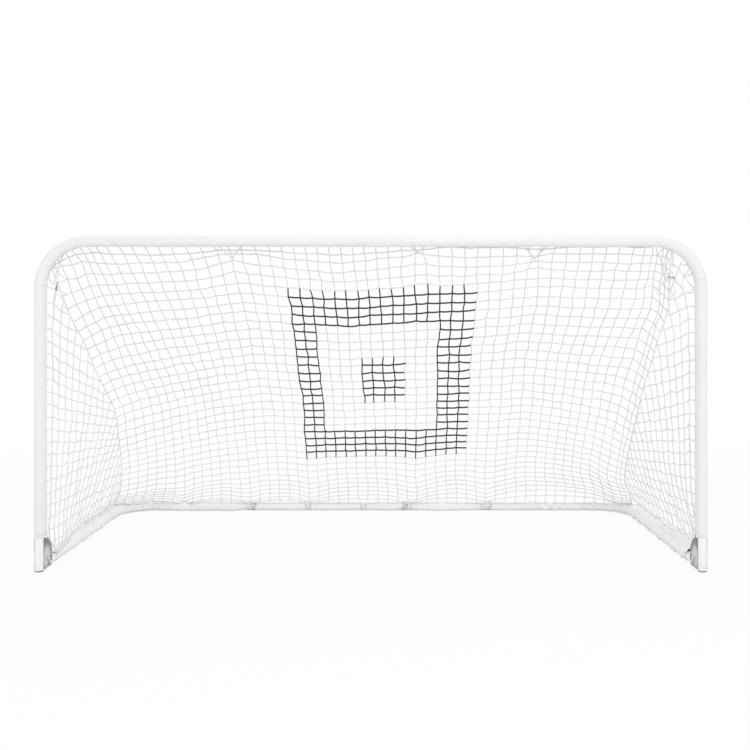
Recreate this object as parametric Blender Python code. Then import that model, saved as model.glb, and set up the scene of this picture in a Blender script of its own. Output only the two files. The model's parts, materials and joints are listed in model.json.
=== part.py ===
"""Folding soccer goal: a tube front frame, a base frame that folds up on two brackets, sleeves and a net.

Metres, +Z up. The mouth faces -Y and the base runs back to +Y. The origin is on the floor, in the middle.
"""
import math

import bmesh
import bpy
from mathutils import Vector

# Overall sizes
GOAL_WIDTH = 2.44
GOAL_HEIGHT = 1.22
GOAL_DEPTH = 1.06

# Gap between surfaces that touch on the real goal
TOUCH = 0.0003

# Tubes
TUBE_RADIUS = 0.016
TUBE_WALL = 0.0015
TOP_BEND_RADIUS = 0.175
BASE_BEND_RADIUS = 0.17
STUB_LENGTH = 0.06
NECK_LENGTH = 0.004
NECK_DROP = 0.0009
STUB_CHAMFER = 0.0008
SIDES = 16
BEND_STEPS = 7
SHARP_ANGLE = 35

# How far a cutting shape runs past what it cuts
CUT_PAST = 0.02

# Fabric sleeves
FABRIC = 0.0015
FRONT_SLEEVE_RADIUS = 0.021
BASE_SLEEVE_RADIUS = 0.020
SLEEVE_FOOT_HEIGHT = 0.125
HEM_LENGTH = 0.03
BASE_SLEEVE_START = 0.135
SEAM_GAP = 0.0012

# Foot caps
CAP_FLANGE = 0.004
CAP_PLUG_LENGTH = 0.018
CAP_WALL = 0.0025
CAP_EDGE = 0.0016

# Brackets: cheeks of half-round outline on both sides of the tubes, joined by a web behind the post
CHEEK_THICKNESS = 0.002
CHEEK_CLEARANCE = 0.0008
CHEEK_REACH = 0.077
CHEEK_TOP = 0.120
CHEEK_BOTTOM = 0.007
CHEEK_WIDEST = 0.045
CHEEK_CORNER = 0.014
WEB_THICKNESS = 0.002
ARC_STEPS = 12

# Fold pivot and its stop, as distances behind the post axis and above the base tube axis
PIVOT_BEHIND_POST = 0.048
PIVOT_ABOVE_TUBE = 0.0057
PIVOT_BOLT_RADIUS = 0.004
STOP_BOLT_RADIUS = 0.003
STOP_BUSH_RADIUS = 0.006
HEEL_LENGTH = 0.0215
FLOOR_CLEARANCE = 0.0005
HEAD_THICKNESS = 0.0025
HEAD_MARGIN = 0.003
HEAD_RIM = 0.001
HEAD_CROWN = 0.0004
HEAD_CROWN_SHARE = 0.75
NUT_HEIGHT = 0.0055
NUT_MARGIN = 0.0028
NUT_WASHER = 0.0012
NUT_DOME = 0.003
NUT_DOME_SHARES = (0.82, 0.5)

# Seats of the removable lock pins
LOCK_BEHIND_POST = 0.0635
LOCK_HEIGHT = 0.052
LOCK_HOLE_RADIUS = 0.0032
LOCK_BUSH_WALL = 0.0015
LOCK_FLANGE = 0.0012
LOCK_FLANGE_MARGIN = 0.0022

# Snap buttons
BUTTON_RADIUS = 0.0035
BUTTON_FROM_JOINT = 0.03
BUTTON_PROUD = 0.0035
BUTTON_CROWN = 0.0021
BUTTON_TIP = 0.0007
BUTTON_TIP_SHARE = 0.75
BUTTON_FLANGE_RADIUS = 0.0048
BUTTON_FLANGE = 0.0012
SPRING_WIDTH = 0.008
SPRING_THICKNESS = 0.0006
SPRING_LEG = 0.024
SPRING_BEND_STEPS = 6

# Bands that hold the net to the back tube, as shares of that tube's length from its middle
STRAP_SHARES = (-0.492, -0.262, -0.045, 0.135, 0.426)
STRAP_WIDTH = 0.022
STRAP_THICKNESS = 0.0012
STRAP_TUBE_WRAP = 1.3 * math.pi
STRAP_TUBE_STEPS = 13
STRAP_EDGE_STEPS = 5

# Net
STRAND = 0.0034
STRAND_GAP = 0.0004
NET_ROWS = 9
NET_COLUMNS = 12
NET_BELLY = 0.045
NET_CORNER_DRAW = 0.06
NET_DRAW_REACH = 0.22
NET_FRONT_START = 0.05
NET_FOOT_GAP = 0.004
LEFT_TIE_SHARE = 0.32
RIGHT_TIE_SHARE = 0.5
TIE_SIDES = 12
TIE_SECTION = 0.0012
TIE_WIDTH = 0.0045
TIE_HEAD = 0.0065
TIE_TAIL = 0.026
TIE_TAIL_WIDTH = 0.0032

# Sizes that follow from those above
BORE_RADIUS = TUBE_RADIUS - TUBE_WALL
STUB_RADIUS = BORE_RADIUS - TOUCH
STUB_BORE = STUB_RADIUS - TUBE_WALL
POST_X = GOAL_WIDTH / 2 - TUBE_RADIUS
MIDDLE_TUBE_LENGTH = GOAL_WIDTH / 2
POST_Y = -(GOAL_DEPTH + BASE_SLEEVE_RADIUS - FRONT_SLEEVE_RADIUS) / 2
BACK_Y = POST_Y + GOAL_DEPTH
CROSSBAR_Z = GOAL_HEIGHT - FABRIC - TOUCH - TUBE_RADIUS
BASE_Z = FABRIC + TOUCH + TUBE_RADIUS
FRONT_SLEEVE_BORE = FRONT_SLEEVE_RADIUS - FABRIC
BASE_SLEEVE_BORE = BASE_SLEEVE_RADIUS - FABRIC
FRONT_SLACK = FRONT_SLEEVE_BORE - TUBE_RADIUS - TOUCH
BASE_SLACK = BASE_SLEEVE_BORE - TUBE_RADIUS - TOUCH
HEEL_BEHIND_POST = PIVOT_BEHIND_POST - HEEL_LENGTH
PIVOT = Vector((0, POST_Y + PIVOT_BEHIND_POST, BASE_Z + PIVOT_ABOVE_TUBE))
STOP_OFFSET = TUBE_RADIUS - PIVOT_ABOVE_TUBE + TOUCH + STOP_BUSH_RADIUS
CHEEK_INNER = TUBE_RADIUS + CHEEK_CLEARANCE
CHEEK_OUTER = CHEEK_INNER + CHEEK_THICKNESS
WEB_FRONT = TUBE_RADIUS + TOUCH
STRAND_REACH = STRAND / 2 + STRAND_GAP
STRAP_PLACES = [share * MIDDLE_TUBE_LENGTH for share in STRAP_SHARES]
DIAGONAL = math.sqrt(0.5)

AXIS_X = Vector((1, 0, 0))
AXIS_Y = Vector((0, 1, 0))
AXIS_Z = Vector((0, 0, 1))
SIDE_SIGN = {"left": -1, "right": 1}


# Scene and materials

def clear_scene():
    for old in list(bpy.data.objects):
        bpy.data.objects.remove(old)


def add_material(name, color, roughness, metallic):
    material = bpy.data.materials.new(name)
    material.use_nodes = True
    shader = material.node_tree.nodes["Principled BSDF"]
    shader.inputs["Base Color"].default_value = (*color, 1)
    shader.inputs["Roughness"].default_value = roughness
    shader.inputs["Metallic"].default_value = metallic
    return material


LOOKS = {
    "enamel": ((0.90, 0.91, 0.92), 0.35, 0.0),
    "fabric": ((0.88, 0.88, 0.88), 0.9, 0.0),
    "band": ((0.80, 0.82, 0.84), 0.8, 0.0),
    "twine": ((0.74, 0.74, 0.74), 0.8, 0.0),
    "plate": ((0.30, 0.31, 0.33), 0.45, 0.8),
    "zinc": ((0.62, 0.61, 0.56), 0.35, 0.9),
    "cap": ((0.28, 0.28, 0.29), 0.5, 0.0),
    "tie": ((0.75, 0.06, 0.05), 0.4, 0.0),
    "spring": ((0.45, 0.45, 0.47), 0.3, 1.0),
}


# Mesh helpers

def add_object(name, bm, look, origin=Vector(), parent=None):
    """Stores a mesh that was made in world places, with the object's own origin at the given point."""
    bmesh.ops.recalc_face_normals(bm, faces=bm.faces)
    bmesh.ops.translate(bm, verts=bm.verts, vec=-origin)
    mesh = bpy.data.meshes.new(name)
    bm.to_mesh(mesh)
    bm.free()
    mesh.shade_smooth()
    mesh.set_sharp_from_angle(angle=math.radians(SHARP_ANGLE))
    if look:
        mesh.materials.append(add_material(name, *LOOKS[look]))
    made = bpy.data.objects.new(name, mesh)
    bpy.context.collection.objects.link(made)
    made.location = origin
    if parent:
        made.parent = parent
        made.location = origin - parent.location
    return made


def add_ring(bm, point, tangent, normal, radius, sides=SIDES):
    side = tangent.cross(normal)
    angles = [2 * math.pi * step / sides for step in range(sides)]
    return [bm.verts.new(point + radius * (math.cos(a) * normal + math.sin(a) * side)) for a in angles]


def bridge(bm, first, second):
    count = len(first)
    for here in range(count):
        after = (here + 1) % count
        bm.faces.new((first[here], first[after], second[after], second[here]))


def swept_tube(stations, normal):
    """A tube with an open bore. Each station is (point, tangent, outer radius, inner radius)."""
    bm = bmesh.new()
    outer = [add_ring(bm, point, tangent, normal, radius) for point, tangent, radius, _ in stations]
    inner = [add_ring(bm, point, tangent, normal, radius) for point, tangent, _, radius in stations]
    for rings in (outer, inner):
        for before, after in zip(rings, rings[1:]):
            bridge(bm, before, after)
    bridge(bm, outer[0], inner[0])
    bridge(bm, outer[-1], inner[-1])
    return bm


def turned(base, axis, profile, closed=False, sides=SIDES):
    """A turned solid. The profile is a list of (radius, distance along the axis)."""
    bm = bmesh.new()
    normal = axis.cross(AXIS_Y if abs(axis.x) > 0.5 else AXIS_X).normalized()
    rings = []
    for radius, along in profile:
        point = base + axis * along
        rings.append(add_ring(bm, point, axis, normal, radius, sides) if radius else [bm.verts.new(point)])
    pairs = list(zip(rings, rings[1:]))
    if closed:
        pairs.append((rings[-1], rings[0]))
    for first, second in pairs:
        if len(first) == 1 or len(second) == 1:
            tip, rim = (first[0], second) if len(first) == 1 else (second[0], first)
            for here in range(len(rim)):
                bm.faces.new((tip, rim[here], rim[(here + 1) % len(rim)]))
        else:
            bridge(bm, first, second)
    return bm


def extruded(outline, direction):
    bm = bmesh.new()
    near = [bm.verts.new(point) for point in outline]
    far = [bm.verts.new(point + direction) for point in outline]
    bm.faces.new(near)
    bm.faces.new(far)
    bridge(bm, near, far)
    return bm


def block(low, high):
    corners = ((low.x, low.y), (high.x, low.y), (high.x, high.y), (low.x, high.y))
    outline = [Vector((x, y, low.z)) for x, y in corners]
    return extruded(outline, AXIS_Z * (high.z - low.z))


def change_by(target, bm, operation, origin=Vector()):
    """Cuts a shape out of the target, or joins it on, and hides the shape itself."""
    number = len(target.modifiers) + 1
    helper = add_object(f"{target.name}_shape_{number}", bm, None, origin)
    helper.hide_render = True
    helper.display_type = "WIRE"
    modifier = target.modifiers.new(f"shape {number}", "BOOLEAN")
    modifier.operation = operation
    modifier.solver = "EXACT"
    modifier.object = helper


def drill(target, centre, axis, radius, reach):
    hole = [(0, -reach), (radius, -reach), (radius, reach), (0, reach)]
    change_by(target, turned(centre, axis, hole), "DIFFERENCE")


# Paths

def straight_path(start, end):
    tangent = (end - start).normalized()
    return [(start, tangent), (end, tangent)]


def bent_path(start, corner, end, radius):
    """A straight run, a quarter bend and another straight run, as (point, tangent) pairs."""
    before = (corner - start).normalized()
    after = (end - corner).normalized()
    centre = corner + radius * (after - before)
    path = [(start, before)]
    for step in range(BEND_STEPS + 1):
        turn = math.pi / 2 * step / BEND_STEPS
        point = centre + radius * (before * math.sin(turn) - after * math.cos(turn))
        path.append((point, before * math.cos(turn) + after * math.sin(turn)))
    path.append((end, after))
    return path


def with_stub(path):
    """The stations of a tube whose last end is reduced to plug into the next tube."""
    stations = [(point, tangent, TUBE_RADIUS, BORE_RADIUS) for point, tangent in path[:-1]]
    joint, tangent = path[-1]
    neck = TUBE_RADIUS - NECK_DROP
    stations += [
        (joint - tangent * NECK_LENGTH, tangent, TUBE_RADIUS, BORE_RADIUS),
        (joint, tangent, neck, STUB_BORE),
        (joint, tangent, STUB_RADIUS, STUB_BORE),
        (joint + tangent * (STUB_LENGTH - NECK_LENGTH), tangent, STUB_RADIUS, STUB_BORE),
        (joint + tangent * STUB_LENGTH, tangent, STUB_RADIUS - STUB_CHAMFER, STUB_BORE),
    ]
    return stations


def with_hem(path, to_tube, radius):
    """The stations of a sleeve whose first end is drawn in to the tube."""
    stations = [(point, tangent, radius, radius - FABRIC) for point, tangent in path]
    point, tangent = path[0]
    tight = TUBE_RADIUS + TOUCH
    stations[0] = (point + to_tube, tangent, tight + FABRIC, tight)
    stations.insert(1, (point + tangent * HEM_LENGTH, tangent, radius, radius - FABRIC))
    return stations


# Front frame

def post_path(sign, inset=0.0, foot=CAP_FLANGE + TOUCH, joint=MIDDLE_TUBE_LENGTH / 2 + TOUCH):
    x = sign * (POST_X - inset)
    top = CROSSBAR_Z - inset
    start = Vector((x, POST_Y, foot))
    corner = Vector((x, POST_Y, top))
    end = Vector((sign * joint, POST_Y, top))
    return bent_path(start, corner, end, TOP_BEND_RADIUS - inset)


def build_post(side):
    sign = SIDE_SIGN[side]
    post = add_object(f"{side}_post", swept_tube(with_stub(post_path(sign)), AXIS_Y), "enamel")
    drill_button_hole(post, button_place(sign, POST_Y, CROSSBAR_Z), -AXIS_Z)


def build_crossbar():
    half = Vector((MIDDLE_TUBE_LENGTH / 2, 0, 0))
    centre = Vector((0, POST_Y, CROSSBAR_Z))
    path = straight_path(centre - half, centre + half)
    stations = [(point, tangent, TUBE_RADIUS, BORE_RADIUS) for point, tangent in path]
    crossbar = add_object("crossbar", swept_tube(stations, AXIS_Y), "enamel")
    for sign in SIDE_SIGN.values():
        drill_button_hole(crossbar, button_place(sign, POST_Y, CROSSBAR_Z), -AXIS_Z)


def build_foot_cap(side):
    plug = BORE_RADIUS - TOUCH
    hollow = plug - CAP_WALL
    length = CAP_FLANGE + CAP_PLUG_LENGTH
    profile = [
        (0, 0),
        (TUBE_RADIUS - CAP_EDGE, 0),
        (TUBE_RADIUS, CAP_EDGE),
        (TUBE_RADIUS, CAP_FLANGE),
        (plug, CAP_FLANGE),
        (plug, length),
        (hollow, length),
        (hollow, CAP_FLANGE),
        (0, CAP_FLANGE),
    ]
    foot = Vector((SIDE_SIGN[side] * POST_X, POST_Y, 0))
    add_object(f"{side}_foot_cap", turned(foot, AXIS_Z, profile), "cap", foot)


def build_post_sleeve(side):
    sign = SIDE_SIGN[side]
    path = post_path(sign, FRONT_SLACK, SLEEVE_FOOT_HEIGHT, MIDDLE_TUBE_LENGTH / 2 + SEAM_GAP)
    to_tube = Vector((sign * FRONT_SLACK, 0, 0))
    stations = with_hem(path, to_tube, FRONT_SLEEVE_RADIUS)
    add_object(f"{side}_post_sleeve", swept_tube(stations, AXIS_Y), "fabric")


def build_crossbar_sleeve():
    centre = Vector((0, POST_Y, CROSSBAR_Z - FRONT_SLACK))
    half = Vector((MIDDLE_TUBE_LENGTH / 2, 0, 0))
    path = straight_path(centre - half, centre + half)
    stations = [(point, tangent, FRONT_SLEEVE_RADIUS, FRONT_SLEEVE_BORE) for point, tangent in path]
    add_object("crossbar_sleeve", swept_tube(stations, AXIS_Y), "fabric")


# Brackets and their fasteners

def cheek_outline(x):
    """The half-round plate seen from the side: a quarter arc above, and a rounded lower corner."""
    points = []
    for step in range(ARC_STEPS + 1):
        turn = math.pi / 2 * step / ARC_STEPS
        behind = CHEEK_REACH * math.sin(turn)
        height = CHEEK_WIDEST + (CHEEK_TOP - CHEEK_WIDEST) * math.cos(turn)
        points.append(Vector((x, POST_Y + behind, height)))
    for step in range(ARC_STEPS // 2 + 1):
        turn = math.pi / 2 * step / (ARC_STEPS // 2)
        behind = CHEEK_REACH - CHEEK_CORNER * (1 - math.cos(turn))
        height = CHEEK_BOTTOM + CHEEK_CORNER * (1 - math.sin(turn))
        points.append(Vector((x, POST_Y + behind, height)))
    points.append(Vector((x, POST_Y, CHEEK_BOTTOM)))
    return points


def build_bracket(side):
    x = SIDE_SIGN[side] * POST_X
    bm = extruded(cheek_outline(x - CHEEK_OUTER), Vector((2 * CHEEK_OUTER, 0, 0)))
    bracket = add_object(f"{side}_bracket", bm, "plate")
    behind_web = POST_Y + WEB_FRONT + WEB_THICKNESS
    spaces = (
        (POST_Y - CUT_PAST, POST_Y + WEB_FRONT),
        (behind_web, POST_Y + CHEEK_REACH + CUT_PAST),
    )
    for near, far in spaces:
        low = Vector((x - CHEEK_INNER, near, CHEEK_BOTTOM - CUT_PAST))
        high = Vector((x + CHEEK_INNER, far, CHEEK_TOP + CUT_PAST))
        change_by(bracket, block(low, high), "DIFFERENCE")
    pin_seat = LOCK_HOLE_RADIUS + LOCK_BUSH_WALL
    for place, radius in (
        (PIVOT, PIVOT_BOLT_RADIUS),
        (stop_place(), STOP_BOLT_RADIUS),
        (lock_place(), pin_seat),
    ):
        drill(bracket, Vector((x, place.y, place.z)), AXIS_X, radius + TOUCH, CHEEK_OUTER + CUT_PAST)


def stop_place():
    return PIVOT + Vector((0, -STOP_OFFSET, STOP_OFFSET))


def lock_place():
    return Vector((0, POST_Y + LOCK_BEHIND_POST, LOCK_HEIGHT))


def build_bolt(side, name, place, radius):
    """A domed head on the outer cheek, a shank through both cheeks and a domed nut inside the goal."""
    outward = AXIS_X * SIDE_SIGN[side]
    centre = Vector((SIDE_SIGN[side] * POST_X, place.y, place.z))
    face = CHEEK_OUTER + TOUCH
    head = radius + HEAD_MARGIN
    shank_end = -face - NUT_HEIGHT
    profile = [
        (0, shank_end),
        (radius, shank_end),
        (radius, face),
        (head, face),
        (head, face + HEAD_RIM),
        (head * HEAD_CROWN_SHARE, face + HEAD_THICKNESS - HEAD_CROWN),
        (0, face + HEAD_THICKNESS),
    ]
    add_object(f"{side}_{name}_bolt", turned(centre, outward, profile), "zinc", centre)

    hexagon = radius + NUT_MARGIN
    flange = hexagon + NUT_MARGIN / 2
    bore = radius + TOUCH
    top = NUT_HEIGHT + TOUCH
    nut_face = centre - outward * face
    body = [(0, 0), (hexagon, 0), (hexagon, top), (0, top)]
    nut = add_object(f"{side}_{name}_nut", turned(nut_face, -outward, body, sides=6), "zinc", nut_face)
    rim = [(0, 0), (flange, 0), (flange, NUT_WASHER), (0, NUT_WASHER)]
    change_by(nut, turned(nut_face, -outward, rim), "UNION")
    wide, narrow = (hexagon * share for share in NUT_DOME_SHARES)
    dome = [(0, NUT_WASHER), (wide, NUT_WASHER), (wide, top), (narrow, top + NUT_DOME), (0, top + NUT_DOME)]
    change_by(nut, turned(nut_face, -outward, dome), "UNION")
    hollow = [(0, -NUT_HEIGHT), (bore, -NUT_HEIGHT), (bore, top), (0, top)]
    change_by(nut, turned(nut_face, -outward, hollow), "DIFFERENCE")


def build_stop_bush(side):
    centre = Vector((SIDE_SIGN[side] * POST_X, stop_place().y, stop_place().z))
    length = CHEEK_INNER - TOUCH
    bore = STOP_BOLT_RADIUS + TOUCH
    profile = [(bore, -length), (STOP_BUSH_RADIUS, -length), (STOP_BUSH_RADIUS, length), (bore, length)]
    add_object(f"{side}_stop_bush", turned(centre, AXIS_X, profile, closed=True), "zinc", centre)


def build_lock_bush(side):
    """A flanged eyelet in the inner cheek, where the lock pin goes in."""
    inward = -AXIS_X * SIDE_SIGN[side]
    centre = Vector((SIDE_SIGN[side] * POST_X, lock_place().y, lock_place().z))
    outer = LOCK_HOLE_RADIUS + LOCK_BUSH_WALL
    flange = outer + LOCK_FLANGE_MARGIN
    face = CHEEK_OUTER + TOUCH
    profile = [
        (LOCK_HOLE_RADIUS, CHEEK_INNER),
        (outer, CHEEK_INNER),
        (outer, face),
        (flange, face),
        (flange, face + LOCK_FLANGE / 2),
        (outer, face + LOCK_FLANGE),
        (LOCK_HOLE_RADIUS, face + LOCK_FLANGE),
    ]
    add_object(f"{side}_lock_bush", turned(centre, inward, profile, closed=True), "zinc", centre)


# Base frame

def base_path(sign, lift=0.0, start=HEEL_BEHIND_POST, joint=MIDDLE_TUBE_LENGTH / 2 + TOUCH):
    z = BASE_Z + lift
    heel = Vector((sign * POST_X, POST_Y + start, z))
    corner = Vector((sign * POST_X, BACK_Y, z))
    end = Vector((sign * joint, BACK_Y, z))
    return bent_path(heel, corner, end, BASE_BEND_RADIUS)


def heel_relief(x):
    """What is cut off under the heel, so that it turns about the pivot just above the floor."""
    swing = PIVOT.z - FLOOR_CLEARANCE
    near = Vector((x - CHEEK_INNER, PIVOT.y, PIVOT.z))
    outline = []
    for step in range(ARC_STEPS + 1):
        turn = math.pi + math.pi / 2 * step / ARC_STEPS
        outline.append(near + Vector((0, swing * math.cos(turn), swing * math.sin(turn))))
    beyond = swing + CUT_PAST
    for back, down in ((0, beyond), (beyond, beyond), (beyond, 0)):
        outline.append(near - Vector((0, back, down)))
    return extruded(outline, Vector((2 * CHEEK_INNER, 0, 0)))


def build_base_tube(side, fold):
    sign = SIDE_SIGN[side]
    bm = swept_tube(with_stub(base_path(sign)), AXIS_Z)
    tube = add_object(f"{side}_base_tube", bm, "enamel", PIVOT, fold)
    x = sign * POST_X
    change_by(tube, heel_relief(x), "DIFFERENCE")
    drill(tube, Vector((x, PIVOT.y, PIVOT.z)), AXIS_X, PIVOT_BOLT_RADIUS + TOUCH, CHEEK_OUTER)
    drill_button_hole(tube, button_place(sign, BACK_Y, BASE_Z), AXIS_Z)


def build_back_tube(fold):
    half = Vector((MIDDLE_TUBE_LENGTH / 2, 0, 0))
    centre = Vector((0, BACK_Y, BASE_Z))
    path = straight_path(centre - half, centre + half)
    stations = [(point, tangent, TUBE_RADIUS, BORE_RADIUS) for point, tangent in path]
    tube = add_object("back_tube", swept_tube(stations, AXIS_Z), "enamel", PIVOT, fold)
    for sign in SIDE_SIGN.values():
        drill_button_hole(tube, button_place(sign, BACK_Y, BASE_Z), AXIS_Z)


def strap_edge(place, sign):
    return place + sign * (STRAP_WIDTH / 2 + SEAM_GAP)


def build_base_sleeve(side, fold):
    sign = SIDE_SIGN[side]
    end_strap = STRAP_PLACES[0] if side == "left" else STRAP_PLACES[-1]
    path = base_path(sign, BASE_SLACK, BASE_SLEEVE_START, abs(strap_edge(end_strap, sign)))
    stations = with_hem(path, Vector((0, 0, -BASE_SLACK)), BASE_SLEEVE_RADIUS)
    add_object(f"{side}_base_sleeve", swept_tube(stations, AXIS_Z), "fabric", PIVOT, fold)


def build_back_sleeves(fold):
    for number, (before, after) in enumerate(zip(STRAP_PLACES, STRAP_PLACES[1:]), 1):
        start = Vector((strap_edge(before, 1), BACK_Y, BASE_Z + BASE_SLACK))
        end = Vector((strap_edge(after, -1), BACK_Y, BASE_Z + BASE_SLACK))
        path = straight_path(start, end)
        stations = [(point, tangent, BASE_SLEEVE_RADIUS, BASE_SLEEVE_BORE) for point, tangent in path]
        add_object(f"back_sleeve_{number}", swept_tube(stations, AXIS_Z), "fabric", PIVOT, fold)


def belt_outline(x, big_centre, big_radius, small_centre, small_radius):
    """The outline of a belt pulled tight round two circles, seen along X."""
    between = small_centre - big_centre
    middle = math.atan2(between.z, between.y)
    spread = math.acos((big_radius - small_radius) / between.length)
    points = []
    arcs = (
        (small_centre, small_radius, middle - spread, middle + spread, STRAP_EDGE_STEPS),
        (big_centre, big_radius, middle + spread, middle - spread + 2 * math.pi, STRAP_TUBE_STEPS),
    )
    for centre, radius, start, end, steps in arcs:
        for step in range(steps + 1):
            turn = start + (end - start) * step / steps
            arm = Vector((0, radius * math.cos(turn), radius * math.sin(turn)))
            points.append(Vector((x, centre.y, centre.z)) + arm)
    return points


def build_strap(number, place, fold):
    """A band round the back tube that also takes in the net's lower edge."""
    tube = Vector((place, BACK_Y, BASE_Z))
    edge = net_back_edge(place)
    # the chords of the band's arc stay clear of the tube
    arc_step = STRAP_TUBE_WRAP / STRAP_TUBE_STEPS
    tube_radius = (TUBE_RADIUS + TOUCH / 2) / math.cos(arc_step / 2)
    bm = bmesh.new()
    loops = []
    for x in (place - STRAP_WIDTH / 2, place + STRAP_WIDTH / 2):
        for thickness in (0, STRAP_THICKNESS):
            points = belt_outline(x, tube, tube_radius + thickness, edge, STRAND_REACH + thickness)
            loops.append([bm.verts.new(point) for point in points])
    inner_left, outer_left, inner_right, outer_right = loops
    bridge(bm, inner_left, outer_left)
    bridge(bm, outer_left, outer_right)
    bridge(bm, outer_right, inner_right)
    bridge(bm, inner_right, inner_left)
    add_object(f"back_strap_{number}", bm, "band", PIVOT, fold)


# Snap buttons and their leaf springs

def button_place(sign, y, z):
    return Vector((sign * (MIDDLE_TUBE_LENGTH / 2 - BUTTON_FROM_JOINT), y, z))


def drill_button_hole(tube, place, direction):
    radius = BUTTON_RADIUS + TOUCH
    hole = [(0, 0), (radius, 0), (radius, 2 * TUBE_RADIUS), (0, 2 * TUBE_RADIUS)]
    change_by(tube, turned(place, direction, hole), "DIFFERENCE")


def build_button(name, centre, outward, along, parent=None):
    """The button slides towards the tube's axis. Its leaf spring bears on the bore's far wall."""
    flange_face = math.sqrt(STUB_BORE ** 2 - BUTTON_FLANGE_RADIUS ** 2) - TOUCH
    tip = TUBE_RADIUS + BUTTON_PROUD
    profile = [
        (0, flange_face - BUTTON_FLANGE),
        (BUTTON_FLANGE_RADIUS, flange_face - BUTTON_FLANGE),
        (BUTTON_FLANGE_RADIUS, flange_face),
        (BUTTON_RADIUS, flange_face),
        (BUTTON_RADIUS, tip - BUTTON_CROWN),
        (BUTTON_RADIUS * BUTTON_TIP_SHARE, tip - BUTTON_TIP),
        (0, tip),
    ]
    add_object(f"{name}_button", turned(centre, outward, profile), "zinc", centre, parent)

    near = flange_face - BUTTON_FLANGE - TOUCH - SPRING_THICKNESS / 2
    far = -(math.sqrt(STUB_BORE ** 2 - (SPRING_WIDTH / 2) ** 2) - TOUCH - SPRING_THICKNESS / 2)
    bend = (near - far) / 2
    line = [(-SPRING_WIDTH / 2, near), (SPRING_LEG - bend, near)]
    for step in range(1, SPRING_BEND_STEPS):
        turn = math.pi * step / SPRING_BEND_STEPS
        line.append((SPRING_LEG - bend + bend * math.sin(turn), (near + far) / 2 + bend * math.cos(turn)))
    line += [(SPRING_LEG - bend, far), (-SPRING_WIDTH / 2, far)]
    across = along.cross(outward)
    outline = [centre + along * a + outward * b - across * SPRING_WIDTH / 2 for a, b in thickened(line)]
    bm = extruded(outline, across * SPRING_WIDTH)
    add_object(f"{name}_spring", bm, "spring", centre, parent)


def thickened(line):
    """The outline of a strip of the spring's thickness that follows a line in a plane."""
    outer = []
    inner = []
    half = SPRING_THICKNESS / 2
    for index, (a, b) in enumerate(line):
        before = line[max(index - 1, 0)]
        after = line[min(index + 1, len(line) - 1)]
        run = Vector((after[0] - before[0], after[1] - before[1])).normalized()
        outer.append((a - run.y * half, b + run.x * half))
        inner.append((a + run.y * half, b - run.x * half))
    return outer + inner[::-1]


# Net

def path_point(path, fraction):
    """The point at a fraction of a path's length."""
    lengths = [(after - before).length for (before, _), (after, _) in zip(path, path[1:])]
    left = fraction * sum(lengths)
    for (before, _), (after, _), length in zip(path, path[1:], lengths):
        if left <= length:
            return before.lerp(after, left / length)
        left -= length
    return path[-1][0].copy()


def mitre_path(path):
    """The first half of a bent path: its first run and the bend up to its middle."""
    before = path[1 + BEND_STEPS // 2][0]
    after = path[1 + (BEND_STEPS + 1) // 2][0]
    return path[: 1 + (BEND_STEPS + 1) // 2] + [(before.lerp(after, 0.5), None)]


def net_front_edge(sign, fraction):
    """Down the back of a post's sleeve, from the middle of the top corner at 0 to the hem at 1."""
    reach = (FRONT_SLEEVE_RADIUS + STRAND_REACH) * DIAGONAL
    path = mitre_path(post_path(sign, FRONT_SLACK + reach, SLEEVE_FOOT_HEIGHT + NET_FOOT_GAP))
    return path_point(path, 1 - fraction) + AXIS_Y * reach


def net_top_edge(across):
    """Along the crossbar sleeve, from the middle of the left corner at 0 to the right one at 1."""
    reach = (FRONT_SLEEVE_RADIUS + STRAND_REACH) * DIAGONAL
    half = mitre_path(post_path(1, FRONT_SLACK + reach)[::-1])
    half[0] = (Vector((0, POST_Y, CROSSBAR_Z - FRONT_SLACK - reach)), None)
    sign = 1 if across > 0.5 else -1
    point = path_point(half, abs(2 * across - 1))
    return Vector((sign * point.x, point.y + reach, point.z))


def net_side_edge(sign, fraction):
    """Along a base side sleeve, from its front end at 0 to the middle of the back corner at 1."""
    reach = (BASE_SLEEVE_RADIUS + STRAND_REACH) * DIAGONAL
    path = mitre_path(bent_path(
        Vector((sign * (POST_X - reach), POST_Y + BASE_SLEEVE_START, BASE_Z + BASE_SLACK + reach)),
        Vector((sign * (POST_X - reach), BACK_Y - reach, BASE_Z + BASE_SLACK + reach)),
        Vector((0, BACK_Y - reach, BASE_Z + BASE_SLACK + reach)),
        BASE_BEND_RADIUS - reach,
    ))
    return path_point(path, fraction)


def net_low_edge(across):
    """Along the back sleeves, from the middle of the left corner at 0 to the right one at 1."""
    reach = (BASE_SLEEVE_RADIUS + STRAND_REACH) * DIAGONAL
    start = Vector((0, BACK_Y - reach, BASE_Z + BASE_SLACK + reach))
    corner = start + AXIS_X * (POST_X - reach)
    path = mitre_path(bent_path(start, corner, corner - AXIS_Y * GOAL_DEPTH / 2, BASE_BEND_RADIUS - reach))
    sign = 1 if across > 0.5 else -1
    point = path_point(path, abs(2 * across - 1))
    return Vector((sign * point.x, point.y, point.z))


def net_back_edge(x):
    """The net's lower edge at a place along the straight part of the back tube."""
    edge = net_low_edge(0.5)
    return Vector((x, edge.y, edge.z))


def net_back_point(across, down):
    """A place on the back panel. It bellies back a little, and is drawn in beside the corners."""
    top = net_top_edge(across)
    low = net_low_edge(across)
    point = top.lerp(low, down)
    bow = 4 * down * (1 - down)
    point.z -= NET_BELLY * bow * DIAGONAL
    point.y -= NET_BELLY * bow * DIAGONAL
    from_corner = (0.5 - abs(across - 0.5)) * GOAL_WIDTH
    sign = 1 if across > 0.5 else -1
    point.x -= sign * NET_CORNER_DRAW * bow * math.exp(-from_corner / NET_DRAW_REACH)
    return point


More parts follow.
